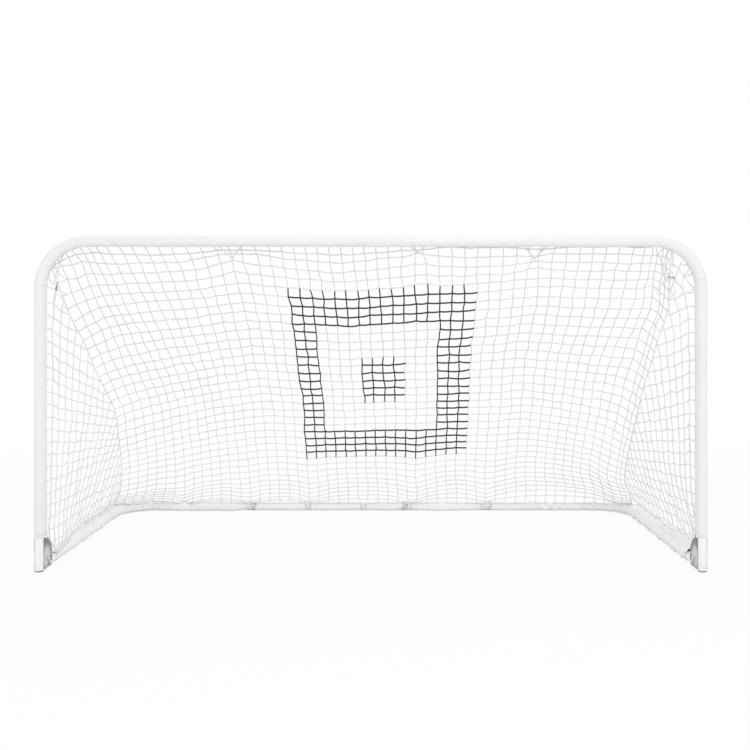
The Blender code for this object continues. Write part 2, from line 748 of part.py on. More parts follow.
def net_side_point(sign, row, column):
    """A place on a side panel, whose columns stop at the ridge where it meets the back panel."""
    ridge = net_back_point(0.5 + sign * 0.5, row / NET_ROWS)
    if column == row:
        return ridge
    if row == NET_ROWS and column > 0:
        return net_side_edge(sign, max(column / NET_ROWS - NET_FRONT_START, 0) / (1 - NET_FRONT_START))
    front = net_front_edge(sign, row / NET_ROWS)
    return front.lerp(ridge, column / row)


def build_net():
    bm = bmesh.new()
    shares = [column / NET_COLUMNS for column in range(NET_COLUMNS + 1)]
    back = [
        [bm.verts.new(net_back_point(share, row / NET_ROWS)) for share in shares]
        for row in range(NET_ROWS + 1)
    ]
    for upper, lower in zip(back, back[1:]):
        for column in range(NET_COLUMNS):
            bm.faces.new((upper[column], lower[column], lower[column + 1], upper[column + 1]))
    for sign in SIDE_SIGN.values():
        ridge_column = 0 if sign < 0 else NET_COLUMNS
        panel = []
        for row in range(NET_ROWS + 1):
            points = [bm.verts.new(net_side_point(sign, row, column)) for column in range(row)]
            panel.append(points + [back[row][ridge_column]])
        for row, (upper, lower) in enumerate(zip(panel, panel[1:])):
            for column in range(row):
                bm.faces.new((upper[column], lower[column], lower[column + 1], upper[column + 1]))
            bm.faces.new((upper[row], lower[row], lower[row + 1]))
    net = add_object("net", bm, "twine")
    strands = net.modifiers.new("strands", "WIREFRAME")
    strands.thickness = STRAND
    strands.use_boundary = True
    strands.use_even_offset = False
    strands.use_relative_offset = False


def build_corner_tie(side):
    """A cable tie round a strand of the net, near the top corner: a loop, its head and the cut tail."""
    sign = SIDE_SIGN[side]
    ends, share, towards = {
        "left": ((net_side_point(sign, 1, 0), net_side_point(sign, 1, 1)), LEFT_TIE_SHARE, AXIS_Z),
        "right": ((net_side_point(sign, 0, 0), net_side_point(sign, 1, 1)), RIGHT_TIE_SHARE, -AXIS_X),
    }[side]
    centre = ends[0].lerp(ends[1], share)
    along = (ends[1] - ends[0]).normalized()
    out = (towards - along * towards.dot(along)).normalized()
    outer = STRAND_REACH + TIE_SECTION
    half = TIE_WIDTH / 2
    profile = [(STRAND_REACH, -half), (outer, -half), (outer, half), (STRAND_REACH, half)]
    loop = turned(centre, along, profile, closed=True, sides=TIE_SIDES)
    tie = add_object(f"{side}_corner_tie", loop, "tie", centre)
    # the head is a small block on the loop, and the tail runs on from it
    root = outer - TIE_SECTION / 2
    for start, end, thick, wide in (
        (root, outer + TIE_HEAD, TIE_WIDTH, TIE_WIDTH),
        (outer + TIE_HEAD / 2, outer + TIE_TAIL, TIE_SECTION, TIE_TAIL_WIDTH),
    ):
        across = along.cross(out) * thick / 2
        length = along * wide / 2
        corners = (-across - length, across - length, across + length, length - across)
        outline = [centre + out * start + corner for corner in corners]
        change_by(tie, extruded(outline, out * (end - start)), "UNION")


def main():
    clear_scene()
    fold = bpy.data.objects.new("fold_axis", None)
    fold.location = PIVOT
    bpy.context.collection.objects.link(fold)
    build_crossbar()
    build_crossbar_sleeve()
    build_back_tube(fold)
    build_back_sleeves(fold)
    for number, place in enumerate(STRAP_PLACES, 1):
        build_strap(number, place, fold)
    for side, sign in SIDE_SIGN.items():
        build_post(side)
        build_foot_cap(side)
        build_post_sleeve(side)
        build_bracket(side)
        build_bolt(side, "pivot", PIVOT, PIVOT_BOLT_RADIUS)
        build_bolt(side, "stop", stop_place(), STOP_BOLT_RADIUS)
        build_stop_bush(side)
        build_lock_bush(side)
        build_base_tube(side, fold)
        build_base_sleeve(side, fold)
        top = button_place(sign, POST_Y, CROSSBAR_Z)
        back = button_place(sign, BACK_Y, BASE_Z)
        build_button(f"{side}_top", top, -AXIS_Z, -AXIS_X * sign)
        build_button(f"{side}_back", back, AXIS_Z, -AXIS_X * sign, fold)
        build_corner_tie(side)
    build_net()


main()
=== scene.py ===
import json
import math

import bpy
import numpy as np
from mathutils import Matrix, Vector

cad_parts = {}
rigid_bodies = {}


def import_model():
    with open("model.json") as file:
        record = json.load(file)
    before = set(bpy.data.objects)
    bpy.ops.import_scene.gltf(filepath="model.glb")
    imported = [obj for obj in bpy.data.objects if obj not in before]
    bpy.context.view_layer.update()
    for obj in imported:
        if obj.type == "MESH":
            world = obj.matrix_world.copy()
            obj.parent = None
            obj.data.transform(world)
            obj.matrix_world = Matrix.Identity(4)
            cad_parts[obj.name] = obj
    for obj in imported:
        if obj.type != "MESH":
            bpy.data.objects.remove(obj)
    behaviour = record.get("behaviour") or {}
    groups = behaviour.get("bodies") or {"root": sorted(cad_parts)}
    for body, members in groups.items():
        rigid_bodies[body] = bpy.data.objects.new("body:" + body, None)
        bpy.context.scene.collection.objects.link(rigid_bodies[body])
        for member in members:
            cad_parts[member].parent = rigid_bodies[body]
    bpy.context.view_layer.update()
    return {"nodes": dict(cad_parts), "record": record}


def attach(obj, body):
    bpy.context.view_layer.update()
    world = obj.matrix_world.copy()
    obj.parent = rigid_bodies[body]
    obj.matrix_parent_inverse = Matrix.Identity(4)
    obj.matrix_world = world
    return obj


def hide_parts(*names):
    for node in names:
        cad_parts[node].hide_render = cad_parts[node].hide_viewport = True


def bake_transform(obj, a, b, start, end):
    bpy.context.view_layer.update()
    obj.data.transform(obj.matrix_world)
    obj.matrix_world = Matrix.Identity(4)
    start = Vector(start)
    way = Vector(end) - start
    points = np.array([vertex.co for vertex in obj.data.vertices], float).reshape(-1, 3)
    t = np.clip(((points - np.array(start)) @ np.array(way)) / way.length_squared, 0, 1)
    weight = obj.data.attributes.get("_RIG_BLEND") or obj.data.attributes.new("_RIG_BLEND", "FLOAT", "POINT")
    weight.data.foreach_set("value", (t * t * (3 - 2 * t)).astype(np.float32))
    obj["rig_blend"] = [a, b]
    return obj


for leftover in list(bpy.data.objects):
    bpy.data.objects.remove(leftover, do_unlink=True)

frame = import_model()
print("frame loaded")

# the goal's own lines, in metres, as the solids have them
goal = {
    "postX": 1.204,
    "postY": -0.5295,
    "backY": 0.5305,
    "baseZ": 0.0178,
    "tubeRadius": 0.016,
    "topCornerX": 1.029,
    "topCornerZ": 1.0272,
    "baseCornerX": 1.034,
    "baseCornerY": 0.3605,
    "pivotY": -0.4815,
    "strapPlaces": [-0.6002, -0.3196, -0.0549, 0.1647, 0.5197],
}


# small tools for node trees

def feed(socket, value):
    # a value is a number, a colour or another node's output
    if isinstance(value, bpy.types.NodeSocket):
        socket.id_data.links.new(value, socket)
    else:
        socket.default_value = value


def addNode(tree, kind, settings=None, inputs=None):
    node = tree.nodes.new(kind)
    for name, value in (settings or {}).items():
        setattr(node, name, value)
    for name, value in (inputs or {}).items():
        feed(node.inputs[name], value)
    return node


def calc(operation, *values):
    # the node goes where its first linked value comes from
    tree = [value.id_data for value in values if isinstance(value, bpy.types.NodeSocket)][0]
    return addNode(tree, "ShaderNodeMath", {"operation": operation}, dict(enumerate(values))).outputs[0]


def times(first, second):
    return calc("MULTIPLY", first, second)


def wave(value, pitch):
    return calc("SINE", times(value, 2 * math.pi / pitch))


def axesOf(value):
    return addNode(value.id_data, "ShaderNodeSeparateXYZ", None, {"Vector": value}).outputs[:]


def blendColors(share, *pair):
    # a plain colour is three numbers
    first, second = [(*color, 1.0) if isinstance(color, tuple) else color for color in pair]
    inputs = {0: share, 6: first, 7: second}
    return addNode(share.id_data, "ShaderNodeMix", {"data_type": "RGBA"}, inputs).outputs[2]


def clouds(where, scale, detail=3.0):
    return addNode(where.id_data, "ShaderNodeTexNoise", None,
                   {"Vector": where, "Scale": scale, "Detail": detail, "Roughness": 0.55}).outputs["Fac"]


def between(value, low, high, newLow=0.0, newHigh=1.0):
    return addNode(value.id_data, "ShaderNodeMapRange", {"clamp": True},
                   {"Value": value, "From Min": low, "From Max": high,
                    "To Min": newLow, "To Max": newHigh}).outputs["Result"]


def tinted(color, shade, value, low, high, most=1.0):
    # more of the shade as the value goes from low to high
    return blendColors(between(value, low, high, 0.0, most), color, shade)


def bump(height, strength, distance, before=None):
    node = addNode(height.id_data, "ShaderNodeBump", None,
                   {"Height": height, "Strength": strength, "Distance": distance})
    if before is not None:
        feed(node.inputs["Normal"], before)
    return node.outputs["Normal"]


def stretched(where, *scale):
    node = addNode(where.id_data, "ShaderNodeMapping", None, {"Vector": where, "Scale": scale})
    return node.outputs["Vector"]


# small tools for finishes

def newFinish(name, roughness, metallic=0.0, fixed=None):
    finish = bpy.data.materials.new(name)
    finish.use_nodes = True
    shader = finish.node_tree.nodes["Principled BSDF"]
    for socket, value in {"Roughness": roughness, "Metallic": metallic, **(fixed or {})}.items():
        shader.inputs[socket].default_value = value
    return finish, addNode(finish.node_tree, "ShaderNodeTexCoord").outputs["Object"]


def completed(finish, color, rough, normal):
    shader = finish.node_tree.nodes["Principled BSDF"]
    for name, value in (("Base Color", color), ("Roughness", rough), ("Normal", normal)):
        feed(shader.inputs[name], value)
    return finish


def flatLayout(finish):
    # the piece's UV map, in metres
    return addNode(finish.node_tree, "ShaderNodeUVMap", {"uv_map": "UVMap"}).outputs[0]


def sharpness(finish):
    return addNode(finish.node_tree, "ShaderNodeNewGeometry").outputs["Pointiness"]


# cloth, webbing and twine

weaves = {
    "clothPitch": 0.0011,
    "ribPitch": 0.0016,
    "pickPitch": 0.0012,
    "braidTurns": 3.0,
    "soilTop": 0.30,    # cloth greys a little below this height
}


def makeCloth(name, base, cool, dirtAndCreaseShade, creased):
    # woven sleeve cloth: u runs along the sleeve, v round it
    finish, place = newFinish(name, 0.8, 0.0, {"Sheen Weight": 0.25, "Sheen Roughness": 0.45,
                                               "Specular IOR Level": 0.3})
    layout = flatLayout(finish)
    along, across, _ = axesOf(layout)
    weave = times(wave(along, weaves["clothPitch"]), wave(across, weaves["clothPitch"]))
    color = tinted(base, cool, clouds(place, 3.0, 4.0), 0.35, 0.68)
    color = tinted(color, dirtAndCreaseShade, weave, -1.0, 1.0, 0.06)
    color = tinted(color, dirtAndCreaseShade, clouds(stretched(layout, 30.0, 900.0, 1.0), 1.0, 2.0), 0.55, 0.8, 0.05)
    low = between(axesOf(place)[2], weaves["soilTop"], 0.03, 0.0, 0.14)
    color = blendColors(times(low, between(clouds(place, 22.0, 5.0), 0.4, 0.7)), color, dirtAndCreaseShade)
    crease = clouds(stretched(layout, 70.0, 130.0, 1.0), 1.0, 3.0)
    # painted shade: the cloth darkens down in its creases, in its dirt colour
    color = tinted(color, dirtAndCreaseShade, crease, 0.45, 0.3, creased * 0.5)
    rough = between(clouds(place, 9.0, 3.0), 0.3, 0.7, 0.74, 0.88)
    return completed(finish, color, rough, bump(crease, creased, 0.0015, bump(weave, 0.25, 0.0003)))


def makeWebbing(name, base, edge):
    # ribbed band webbing, ribs along the band
    finish, place = newFinish(name, 0.75, 0.0, {"Sheen Weight": 0.3, "Sheen Roughness": 0.4})
    along, across, _ = axesOf(flatLayout(finish))
    weave = calc("ADD", wave(across, weaves["ribPitch"]), times(wave(along, weaves["pickPitch"]), 0.5))
    color = tinted(base, edge, clouds(place, 35.0, 4.0), 0.35, 0.7, 0.6)
    color = tinted(color, edge, weave, -1.5, 1.5, 0.15)
    return completed(finish, color, between(weave, -1.5, 1.5, 0.68, 0.84), bump(weave, 0.5, 0.0004))


def makeTwine(name, base, shade, roughness=0.7, braid=0.009, upperShade=0.0):
    # braided twine: two sets of strands that cross, from the tube's own place attribute
    finish, place = newFinish(name, roughness, 0.0, {"Sheen Weight": 0.2, "Sheen Roughness": 0.5})
    spot = addNode(finish.node_tree, "ShaderNodeAttribute", {"attribute_name": "twinePlace"})
    x, y, run = axesOf(spot.outputs["Vector"])
    turn = times(calc("ARCTAN2", y, x), weaves["braidTurns"])
    run = times(run, 2 * math.pi / braid)
    strands = times(*[calc("SINE", calc(way, turn, run)) for way in ("ADD", "SUBTRACT")])
    color = tinted(base, shade, clouds(place, 6.0, 4.0), 0.35, 0.7)
    color = blendColors(between(strands, -1.0, 0.2, 0.35, 0.0), color, shade)
    # painted shade: the upper strands are greyer
    color = tinted(color, (0.3, 0.3, 0.3), axesOf(place)[2], 0.3, 0.8, upperShade)
    rough = between(strands, -1.0, 1.0, min(roughness + 0.12, 1.0), roughness - 0.08)
    return completed(finish, color, rough, bump(strands, 0.5, 0.0004))


def makeKnot(name, base, shade):
    # knotted twine seen as one lump, with the turns of the knot as a bump
    finish, place = newFinish(name, 0.8, 0.0, {"Sheen Weight": 0.2, "Sheen Roughness": 0.5})
    turns = addNode(finish.node_tree, "ShaderNodeTexWave",
                    {"wave_type": "BANDS", "bands_direction": "DIAGONAL"},
                    {"Vector": place, "Scale": 130.0, "Distortion": 3.0, "Detail": 2.0}).outputs["Fac"]
    color = tinted(base, shade, clouds(place, 18.0, 3.0), 0.3, 0.7)
    color = blendColors(between(turns, 0.0, 0.5, 0.5, 0.0), color, shade)
    return completed(finish, color, between(turns, 0.0, 1.0, 0.88, 0.72), bump(turns, 0.6, 0.0006))


# tube, steel and plastic

def makeEnamel(name, base):
    # glossy white paint on tube: orange peel, faint streaks along the tube, dust low down
    finish, place = newFinish(name, 0.28, 0.0, {"Coat Weight": 0.3, "Coat Roughness": 0.12,
                                                "Specular IOR Level": 0.5})
    streak = clouds(stretched(place, 260.0, 260.0, 14.0), 1.0, 4.0)
    color = tinted(base, (0.62, 0.64, 0.67), streak, 0.5, 0.75, 0.12)
    low = between(axesOf(place)[2], 0.10, 0.0, 0.0, 0.4)
    dust = times(low, between(clouds(place, 60.0, 6.0), 0.45, 0.7))
    color = blendColors(dust, color, (0.55, 0.55, 0.54))
    peel = bump(clouds(place, 420.0, 2.0), 0.08, 0.0004)
    return completed(finish, color, between(streak, 0.3, 0.8, 0.2, 0.42), peel)


def makePlate(name, base, bright, rimShade=0.0):
    # satin steel plate: rolled grain, worn bright edges, dull stains, and a painted dark rim of shade and
    # reflection
    finish, place = newFinish(name, 0.45, 0.85)
    grain = clouds(stretched(place, 300.0, 900.0, 60.0), 1.0, 4.0)
    stain = between(clouds(place, 38.0, 5.0), 0.4, 0.7)
    color = tinted(base, bright, grain, 0.3, 0.75, 0.35)
    color = blendColors(times(stain, 0.35), color, (0.2, 0.2, 0.2))
    color = blendColors(times(between(sharpness(finish), 0.5, 0.56), 0.7), color, bright)
    # painted shade and dark reflection: the plate darkens towards its outline, away from a middle point at y
    # -0.51, z 0.05
    fromMiddle = addNode(finish.node_tree, "ShaderNodeVectorMath", {"operation": "DISTANCE"},
                         {0: stretched(place, 0.0, 1.0, 1.0), 1: (0.0, -0.51, 0.05)}).outputs["Value"]
    color = tinted(color, (0.06, 0.06, 0.065), fromMiddle, 0.026, 0.049, rimShade)
    rough = calc("ADD", between(grain, 0.3, 0.8, 0.32, 0.5), times(stain, 0.15))
    return completed(finish, color, rough, bump(grain, 0.15, 0.0003))


def makeZinc(name, base, yellow):
    # zinc plating with its passivation colours
    finish, place = newFinish(name, 0.32, 0.9)
    patch = between(clouds(place, 90.0, 4.0), 0.35, 0.68)
    color = blendColors(patch, base, yellow)
    color = tinted(color, (0.3, 0.29, 0.26), clouds(place, 260.0, 3.0), 0.55, 0.75, 0.4)
    fine = bump(clouds(place, 700.0, 2.0), 0.12, 0.0002)
    return completed(finish, color, between(patch, 0.0, 1.0, 0.24, 0.42), fine)


def makeMoulded(name, base, scuff, roughness, grainScale):
    # moulded plastic: fine grain, scuffed edges
    finish, place = newFinish(name, roughness, 0.0, {"Specular IOR Level": 0.5})
    grain = clouds(place, grainScale, 2.0)
    color = tinted(base, scuff, clouds(place, 70.0, 5.0), 0.5, 0.75, 0.5)
    color = tinted(color, scuff, sharpness(finish), 0.51, 0.58, 0.5)
    rough = between(grain, 0.3, 0.7, max(roughness - 0.08, 0.05), roughness + 0.1)
    return completed(finish, color, rough, bump(grain, 0.25, 0.0003))


# the third colour of each cloth is its dirt, also used as painted shade in the creases
sleeveCloth = makeCloth("sleeveCloth", (0.85, 0.85, 0.855), (0.81, 0.815, 0.83), (0.56, 0.57, 0.59), 0.2)
baseCloth = makeCloth("baseCloth", (0.94, 0.945, 0.95), (0.90, 0.91, 0.925), (0.64, 0.65, 0.66), 0.55)
bandWebbing = makeWebbing("bandWebbing", (0.90, 0.91, 0.92), (0.70, 0.72, 0.75))
netTwine = makeTwine("netTwine", (0.90, 0.90, 0.89), (0.82, 0.82, 0.81))
# painted shade: the back net's twine, greyer towards the top
backTwine = makeTwine("backTwine", (0.90, 0.90, 0.89), (0.82, 0.82, 0.81), upperShade=0.17)
# painted light: a brighter copy of the same twine for the back net's columns, as lit, and greyer towards the
# top, as shaded
litColumnTwine = makeTwine("litColumnTwine", (0.95, 0.95, 0.94), (0.88, 0.88, 0.87), upperShade=0.22)
netKnot = makeKnot("netKnot", (0.84, 0.84, 0.83), (0.70, 0.70, 0.69))
darkTwine = makeTwine("darkTwine", (0.035, 0.035, 0.04), (0.012, 0.012, 0.014), 0.6)
darkKnot = makeKnot("darkKnot", (0.035, 0.035, 0.04), (0.01, 0.01, 0.012))
edgeTwine = makeTwine("edgeTwine", (0.88, 0.88, 0.87), (0.74, 0.74, 0.73), 0.7, 0.012)
lashTwine = makeTwine("lashTwine", (0.66, 0.67, 0.69), (0.46, 0.47, 0.49), 0.7, 0.006)
seamThread = makeTwine("seamThread", (0.72, 0.72, 0.74), (0.5, 0.5, 0.52), 0.6, 0.004)
slotFinish = {
    "enamel": makeEnamel("tubeEnamel", (0.88, 0.89, 0.90)),
    "plate": makePlate("platedSteel", (0.38, 0.39, 0.41), (0.70, 0.71, 0.73), 0.7),
    "zinc": makeZinc("zincPlate", (0.74, 0.73, 0.68), (0.78, 0.72, 0.54)),
    "spring": makePlate("springSteel", (0.36, 0.36, 0.38), (0.62, 0.62, 0.64)),
    "cap": makeMoulded("capPlastic", (0.05, 0.05, 0.055), (0.16, 0.16, 0.165), 0.55, 900.0),
    "tie": makeMoulded("tiePlastic", (0.62, 0.03, 0.03), (0.74, 0.16, 0.13), 0.3, 1200.0),
    "fabric": sleeveCloth,
    "band": bandWebbing,
    "twine": netTwine,
}
for part in frame["record"]["subparts"]:
    solid = frame["nodes"][part["node"]]
    if not solid.material_slots:
        solid.data.materials.append(None)
    for place in solid.material_slots:
        place.material = slotFinish[part["material_slot"]]
print("materials made")


# lines and meshes

def smoothStep(value, low, high):
    share = np.clip((value - low) / (high - low), 0, 1)
    return share * share * (3 - 2 * share)


def together(*parts):
    # coordinates side by side, where a single number holds for all
    return np.stack(np.broadcast_arrays(*parts), axis=-1)


def smoothLine(points, steps=14):
    # a smooth curve through all the points
    knots = np.array(points, float)
    padded = np.vstack([2 * knots[0] - knots[1], knots, 2 * knots[-1] - knots[-2]])
    t = np.linspace(0, 1, steps, endpoint=False)[:, None]
    runs = []
    for a, b, c, d in zip(padded, padded[1:], padded[2:], padded[3:]):
        runs.append(0.5 * (2 * b + (c - a) * t + (2 * a - 5 * b + 4 * c - d) * t ** 2
                           + (3 * b - a - 3 * c + d) * t ** 3))
    return np.vstack(runs + [knots[-1:]])


def lengthsAlong(line):
    steps = np.linalg.norm(np.diff(line, axis=0), axis=1)
    return np.concatenate([[0.0], np.cumsum(steps)])


def placesOn(line, shares):
    # points at these shares of the line's length
    lengths = lengthsAlong(line)
    wanted = np.asarray(shares, float) * lengths[-1]
    return np.stack([np.interp(wanted, lengths, line[:, axis]) for axis in range(3)], axis=-1)


def evened(line, spacing):
    return placesOn(line, np.linspace(0, 1, max(2, int(round(lengthsAlong(line)[-1] / spacing)) + 1)))


def arcPoints(centre, radius, start, end, steps=24):
    # angles in degrees, in a plane that the first and second offsets span
    turns = np.radians(np.linspace(start, end, steps + 1))
    return together(centre[0] + radius * np.cos(turns), centre[1] + radius * np.sin(turns))


def newObject(name, vertices, faces=(), edges=(), finish=None, smooth=True):
    mesh = bpy.data.meshes.new(name)
    mesh.from_pydata([tuple(map(float, v)) for v in vertices], [tuple(map(int, e)) for e in edges],
                     [tuple(map(int, f)) for f in faces])
    if finish is not None:
        mesh.materials.append(finish)
    if smooth:
        mesh.polygons.foreach_set("use_smooth", [True] * len(mesh.polygons))
    mesh.update()
    piece = bpy.data.objects.new(name, mesh)
    bpy.context.scene.collection.objects.link(piece)
    return piece


def facingAway(piece, face, centre):
    # turns the faces round if this one looks towards the centre
    probe = piece.data.polygons[face]
    if (np.array(probe.center) - centre) @ np.array(probe.normal) < 0:
        piece.data.flip_normals()


# node trees for twine, knots, loops and stitches

def newTree(name, sizes):
    # geometry in and out, with these sizes and a finish
    tree = bpy.data.node_groups.new(name, "GeometryNodeTree")
    tree.interface.new_socket("Geometry", in_out="INPUT", socket_type="NodeSocketGeometry")
    for label, size in sizes.items():
        kind = "NodeSocketInt" if isinstance(size, int) else "NodeSocketFloat"
        tree.interface.new_socket(label, in_out="INPUT", socket_type=kind).default_value = size
    tree.interface.new_socket("Finish", in_out="INPUT", socket_type="NodeSocketMaterial")
    tree.interface.new_socket("Geometry", in_out="OUTPUT", socket_type="NodeSocketGeometry")
    return tree, tree.nodes.new("NodeGroupInput").outputs


def closeTree(tree, geometry, finish):
    # every tree ends in real geometry with its material
    real = addNode(tree, "GeometryNodeRealizeInstances", None, {"Geometry": geometry})
    smooth = addNode(tree, "GeometryNodeSetShadeSmooth", None, {"Geometry": real.outputs[0]})
    dressed = addNode(tree, "GeometryNodeSetMaterial", None,
                      {"Geometry": smooth.outputs[0], "Material": finish})
    tree.links.new(dressed.outputs[0], tree.nodes.new("NodeGroupOutput").inputs[0])
    return tree


def circleIn(tree, sides, radius):
    inputs = {"Resolution": sides, "Radius": radius}
    return addNode(tree, "GeometryNodeCurvePrimitiveCircle", None, inputs).outputs[0]


def remembered(tree, geometry, kind, label, value):
    # keeps a value of the line or of the ring for the finished tube
    node = addNode(tree, "GeometryNodeCaptureAttribute", None, {"Geometry": geometry})
    node.capture_items.new(kind, label)
    feed(node.inputs[label], value)
    return node.outputs["Geometry"], node.outputs[label]


def buildTwineTree():
    tree, start = newTree("twineAlongLines", {"Radius": 0.0015, "Sides": 6})
    line = addNode(tree, "GeometryNodeMeshToCurve", None, {"Mesh": start["Geometry"]})
    length = addNode(tree, "GeometryNodeSplineParameter").outputs["Length"]
    spot = addNode(tree, "GeometryNodeInputPosition").outputs[0]
    line, run = remembered(tree, line.outputs[0], "FLOAT", "Run", length)
    ring = circleIn(tree, start["Sides"], start["Radius"])
    ring, onRing = remembered(tree, ring, "VECTOR", "Round", spot)
    tube = addNode(tree, "GeometryNodeCurveToMesh", None,
                   {"Curve": line, "Profile Curve": ring, "Fill Caps": True})
    x, y, _ = axesOf(onRing)
    joined = addNode(tree, "ShaderNodeCombineXYZ", None, {"X": x, "Y": y, "Z": run})
    stored = addNode(tree, "GeometryNodeStoreNamedAttribute",
                     {"data_type": "FLOAT_VECTOR", "domain": "POINT"},
                     {"Geometry": tube.outputs[0], "Name": "twinePlace", "Value": joined.outputs[0]})
    return closeTree(tree, stored.outputs[0], start["Finish"])


def buildKnotTree():
    tree, start = newTree("knotsOnPoints", {"Size": 0.0026, "Flatness": 0.75, "Seed": 3})
    ball = addNode(tree, "GeometryNodeMeshUVSphere", None,
                   {"Segments": 7, "Rings": 5, "Radius": start["Size"]})
    tilt = addNode(tree, "FunctionNodeRandomValue", {"data_type": "FLOAT_VECTOR"},
                   {0: (-0.5, -0.5, -3.1), 1: (0.5, 0.5, 3.1), "Seed": start["Seed"]})
    size = addNode(tree, "FunctionNodeRandomValue", {"data_type": "FLOAT"},
                   {2: 0.8, 3: 1.2, "Seed": start["Seed"]}).outputs[1]
    scale = addNode(tree, "ShaderNodeCombineXYZ", None,
                    {"X": size, "Y": times(size, start["Flatness"]), "Z": size})
    placed = addNode(tree, "GeometryNodeInstanceOnPoints", None,
                     {"Points": start["Geometry"], "Instance": ball.outputs["Mesh"],
                      "Rotation": tilt.outputs[0], "Scale": scale.outputs[0]})
    return closeTree(tree, placed.outputs[0], start["Finish"])


def repeatAlong(tree, start, item):
    # one item at every step of the lines, turned with them
    line = addNode(tree, "GeometryNodeMeshToCurve", None, {"Mesh": start["Geometry"]})
    even = addNode(tree, "GeometryNodeCurveToPoints", {"mode": "LENGTH"},
                   {"Curve": line.outputs[0], "Length": start["Spacing"]}).outputs
    placed = addNode(tree, "GeometryNodeInstanceOnPoints", None,
                     {"Points": even["Points"], "Instance": item, "Rotation": even["Rotation"]})
    return closeTree(tree, placed.outputs[0], start["Finish"])


def buildLoopTree():
    # small thread loops round a line
    tree, start = newTree("loopsAlongLines",
                          {"Spacing": 0.024, "Loop Radius": 0.004, "Thread Radius": 0.0006})
    ring, thread = circleIn(tree, 9, start["Loop Radius"]), circleIn(tree, 4, start["Thread Radius"])
    loop = addNode(tree, "GeometryNodeCurveToMesh", None, {"Curve": ring, "Profile Curve": thread})
    return repeatAlong(tree, start, loop.outputs[0])


def buildStitchTree():
    # short thread stitches that lie along a line
    tree, start = newTree("stitchesAlongLines",
                          {"Spacing": 0.006, "Stitch Length": 0.004, "Thread Radius": 0.0004})
    stitch = addNode(tree, "GeometryNodeMeshCylinder", None,
                     {"Vertices": 6, "Radius": start["Thread Radius"], "Depth": start["Stitch Length"]})
    return repeatAlong(tree, start, stitch.outputs["Mesh"])


twineTree = buildTwineTree()
knotTree = buildKnotTree()
loopTree = buildLoopTree()
stitchTree = buildStitchTree()
print("node trees built")


def dressLines(name, lines, tree, values):
    # runs a tree over loose polylines and keeps the plain result, without its modifier
    vertices, edges = [], []
    for line in lines:
        edges.extend((len(vertices) + i, len(vertices) + i + 1) for i in range(len(line) - 1))
        vertices.extend(line)
    bare = newObject(name + "Lines", vertices, (), edges, None, False)
    modifier = bare.modifiers.new("dress", "NODES")
    modifier.node_group = tree
    for item in tree.interface.items_tree:
        if item.in_out == "INPUT" and item.name in values:
            modifier[item.identifier] = values[item.name]
    view = bpy.context.evaluated_depsgraph_get()
    mesh = bpy.data.meshes.new_from_object(bare.evaluated_get(view), depsgraph=view)
    mesh.name = name
    piece = bpy.data.objects.new(name, mesh)
    bpy.context.scene.collection.objects.link(piece)
    bpy.data.objects.remove(bare, do_unlink=True)
    return piece


def twine(name, lines, radius, finish, sides=6):
    return dressLines(name, lines, twineTree, {"Radius": radius, "Sides": sides, "Finish": finish})


def knotted(name, spots, size, seed, finish):
    points = [[spot] for spot in spots]
    return dressLines(name, points, knotTree, {"Size": size, "Seed": seed, "Finish": finish})


# cloth on tubes

upward = np.array([0.0, 0.0, 1.0])
backward = np.array([0.0, 1.0, 0.0])
clothWall = {
    "thickness": 0.0015,
    "tubeGap": 0.0002,
    "floorGap": 0.0003,
}


def ripples(rng, count, aroundLow, aroundHigh, alongLow, alongHigh):
    # a sum of waves in two directions, such as round a sleeve and along it
    terms = [(rng.integers(aroundLow, aroundHigh + 1),
              rng.uniform(alongLow, alongHigh) * rng.choice([-1, 1]),
              rng.uniform(0, 2 * math.pi)) for _ in range(count)]

    def height(s, a):
        total = 0.0
        for around, along, phase in terms:
            total = total + np.cos(around * a + along * s + phase)
        return total / math.sqrt(count)
    return height


def fullTurn(steps):
    return np.linspace(0, 2 * math.pi, steps, endpoint=False)


def headings(line):
    ahead = np.gradient(line, axis=0)
    return ahead / np.linalg.norm(ahead, axis=1)[:, None]


def tubeReach(slack, toward, across):
    # the least reach that clears the tube, whose axis is off the sleeve's by the slack
    dist = slack * toward + np.sqrt(np.maximum(goal["tubeRadius"] ** 2 - (slack * across) ** 2, 0))
    return dist + clothWall["thickness"] + clothWall["tubeGap"]


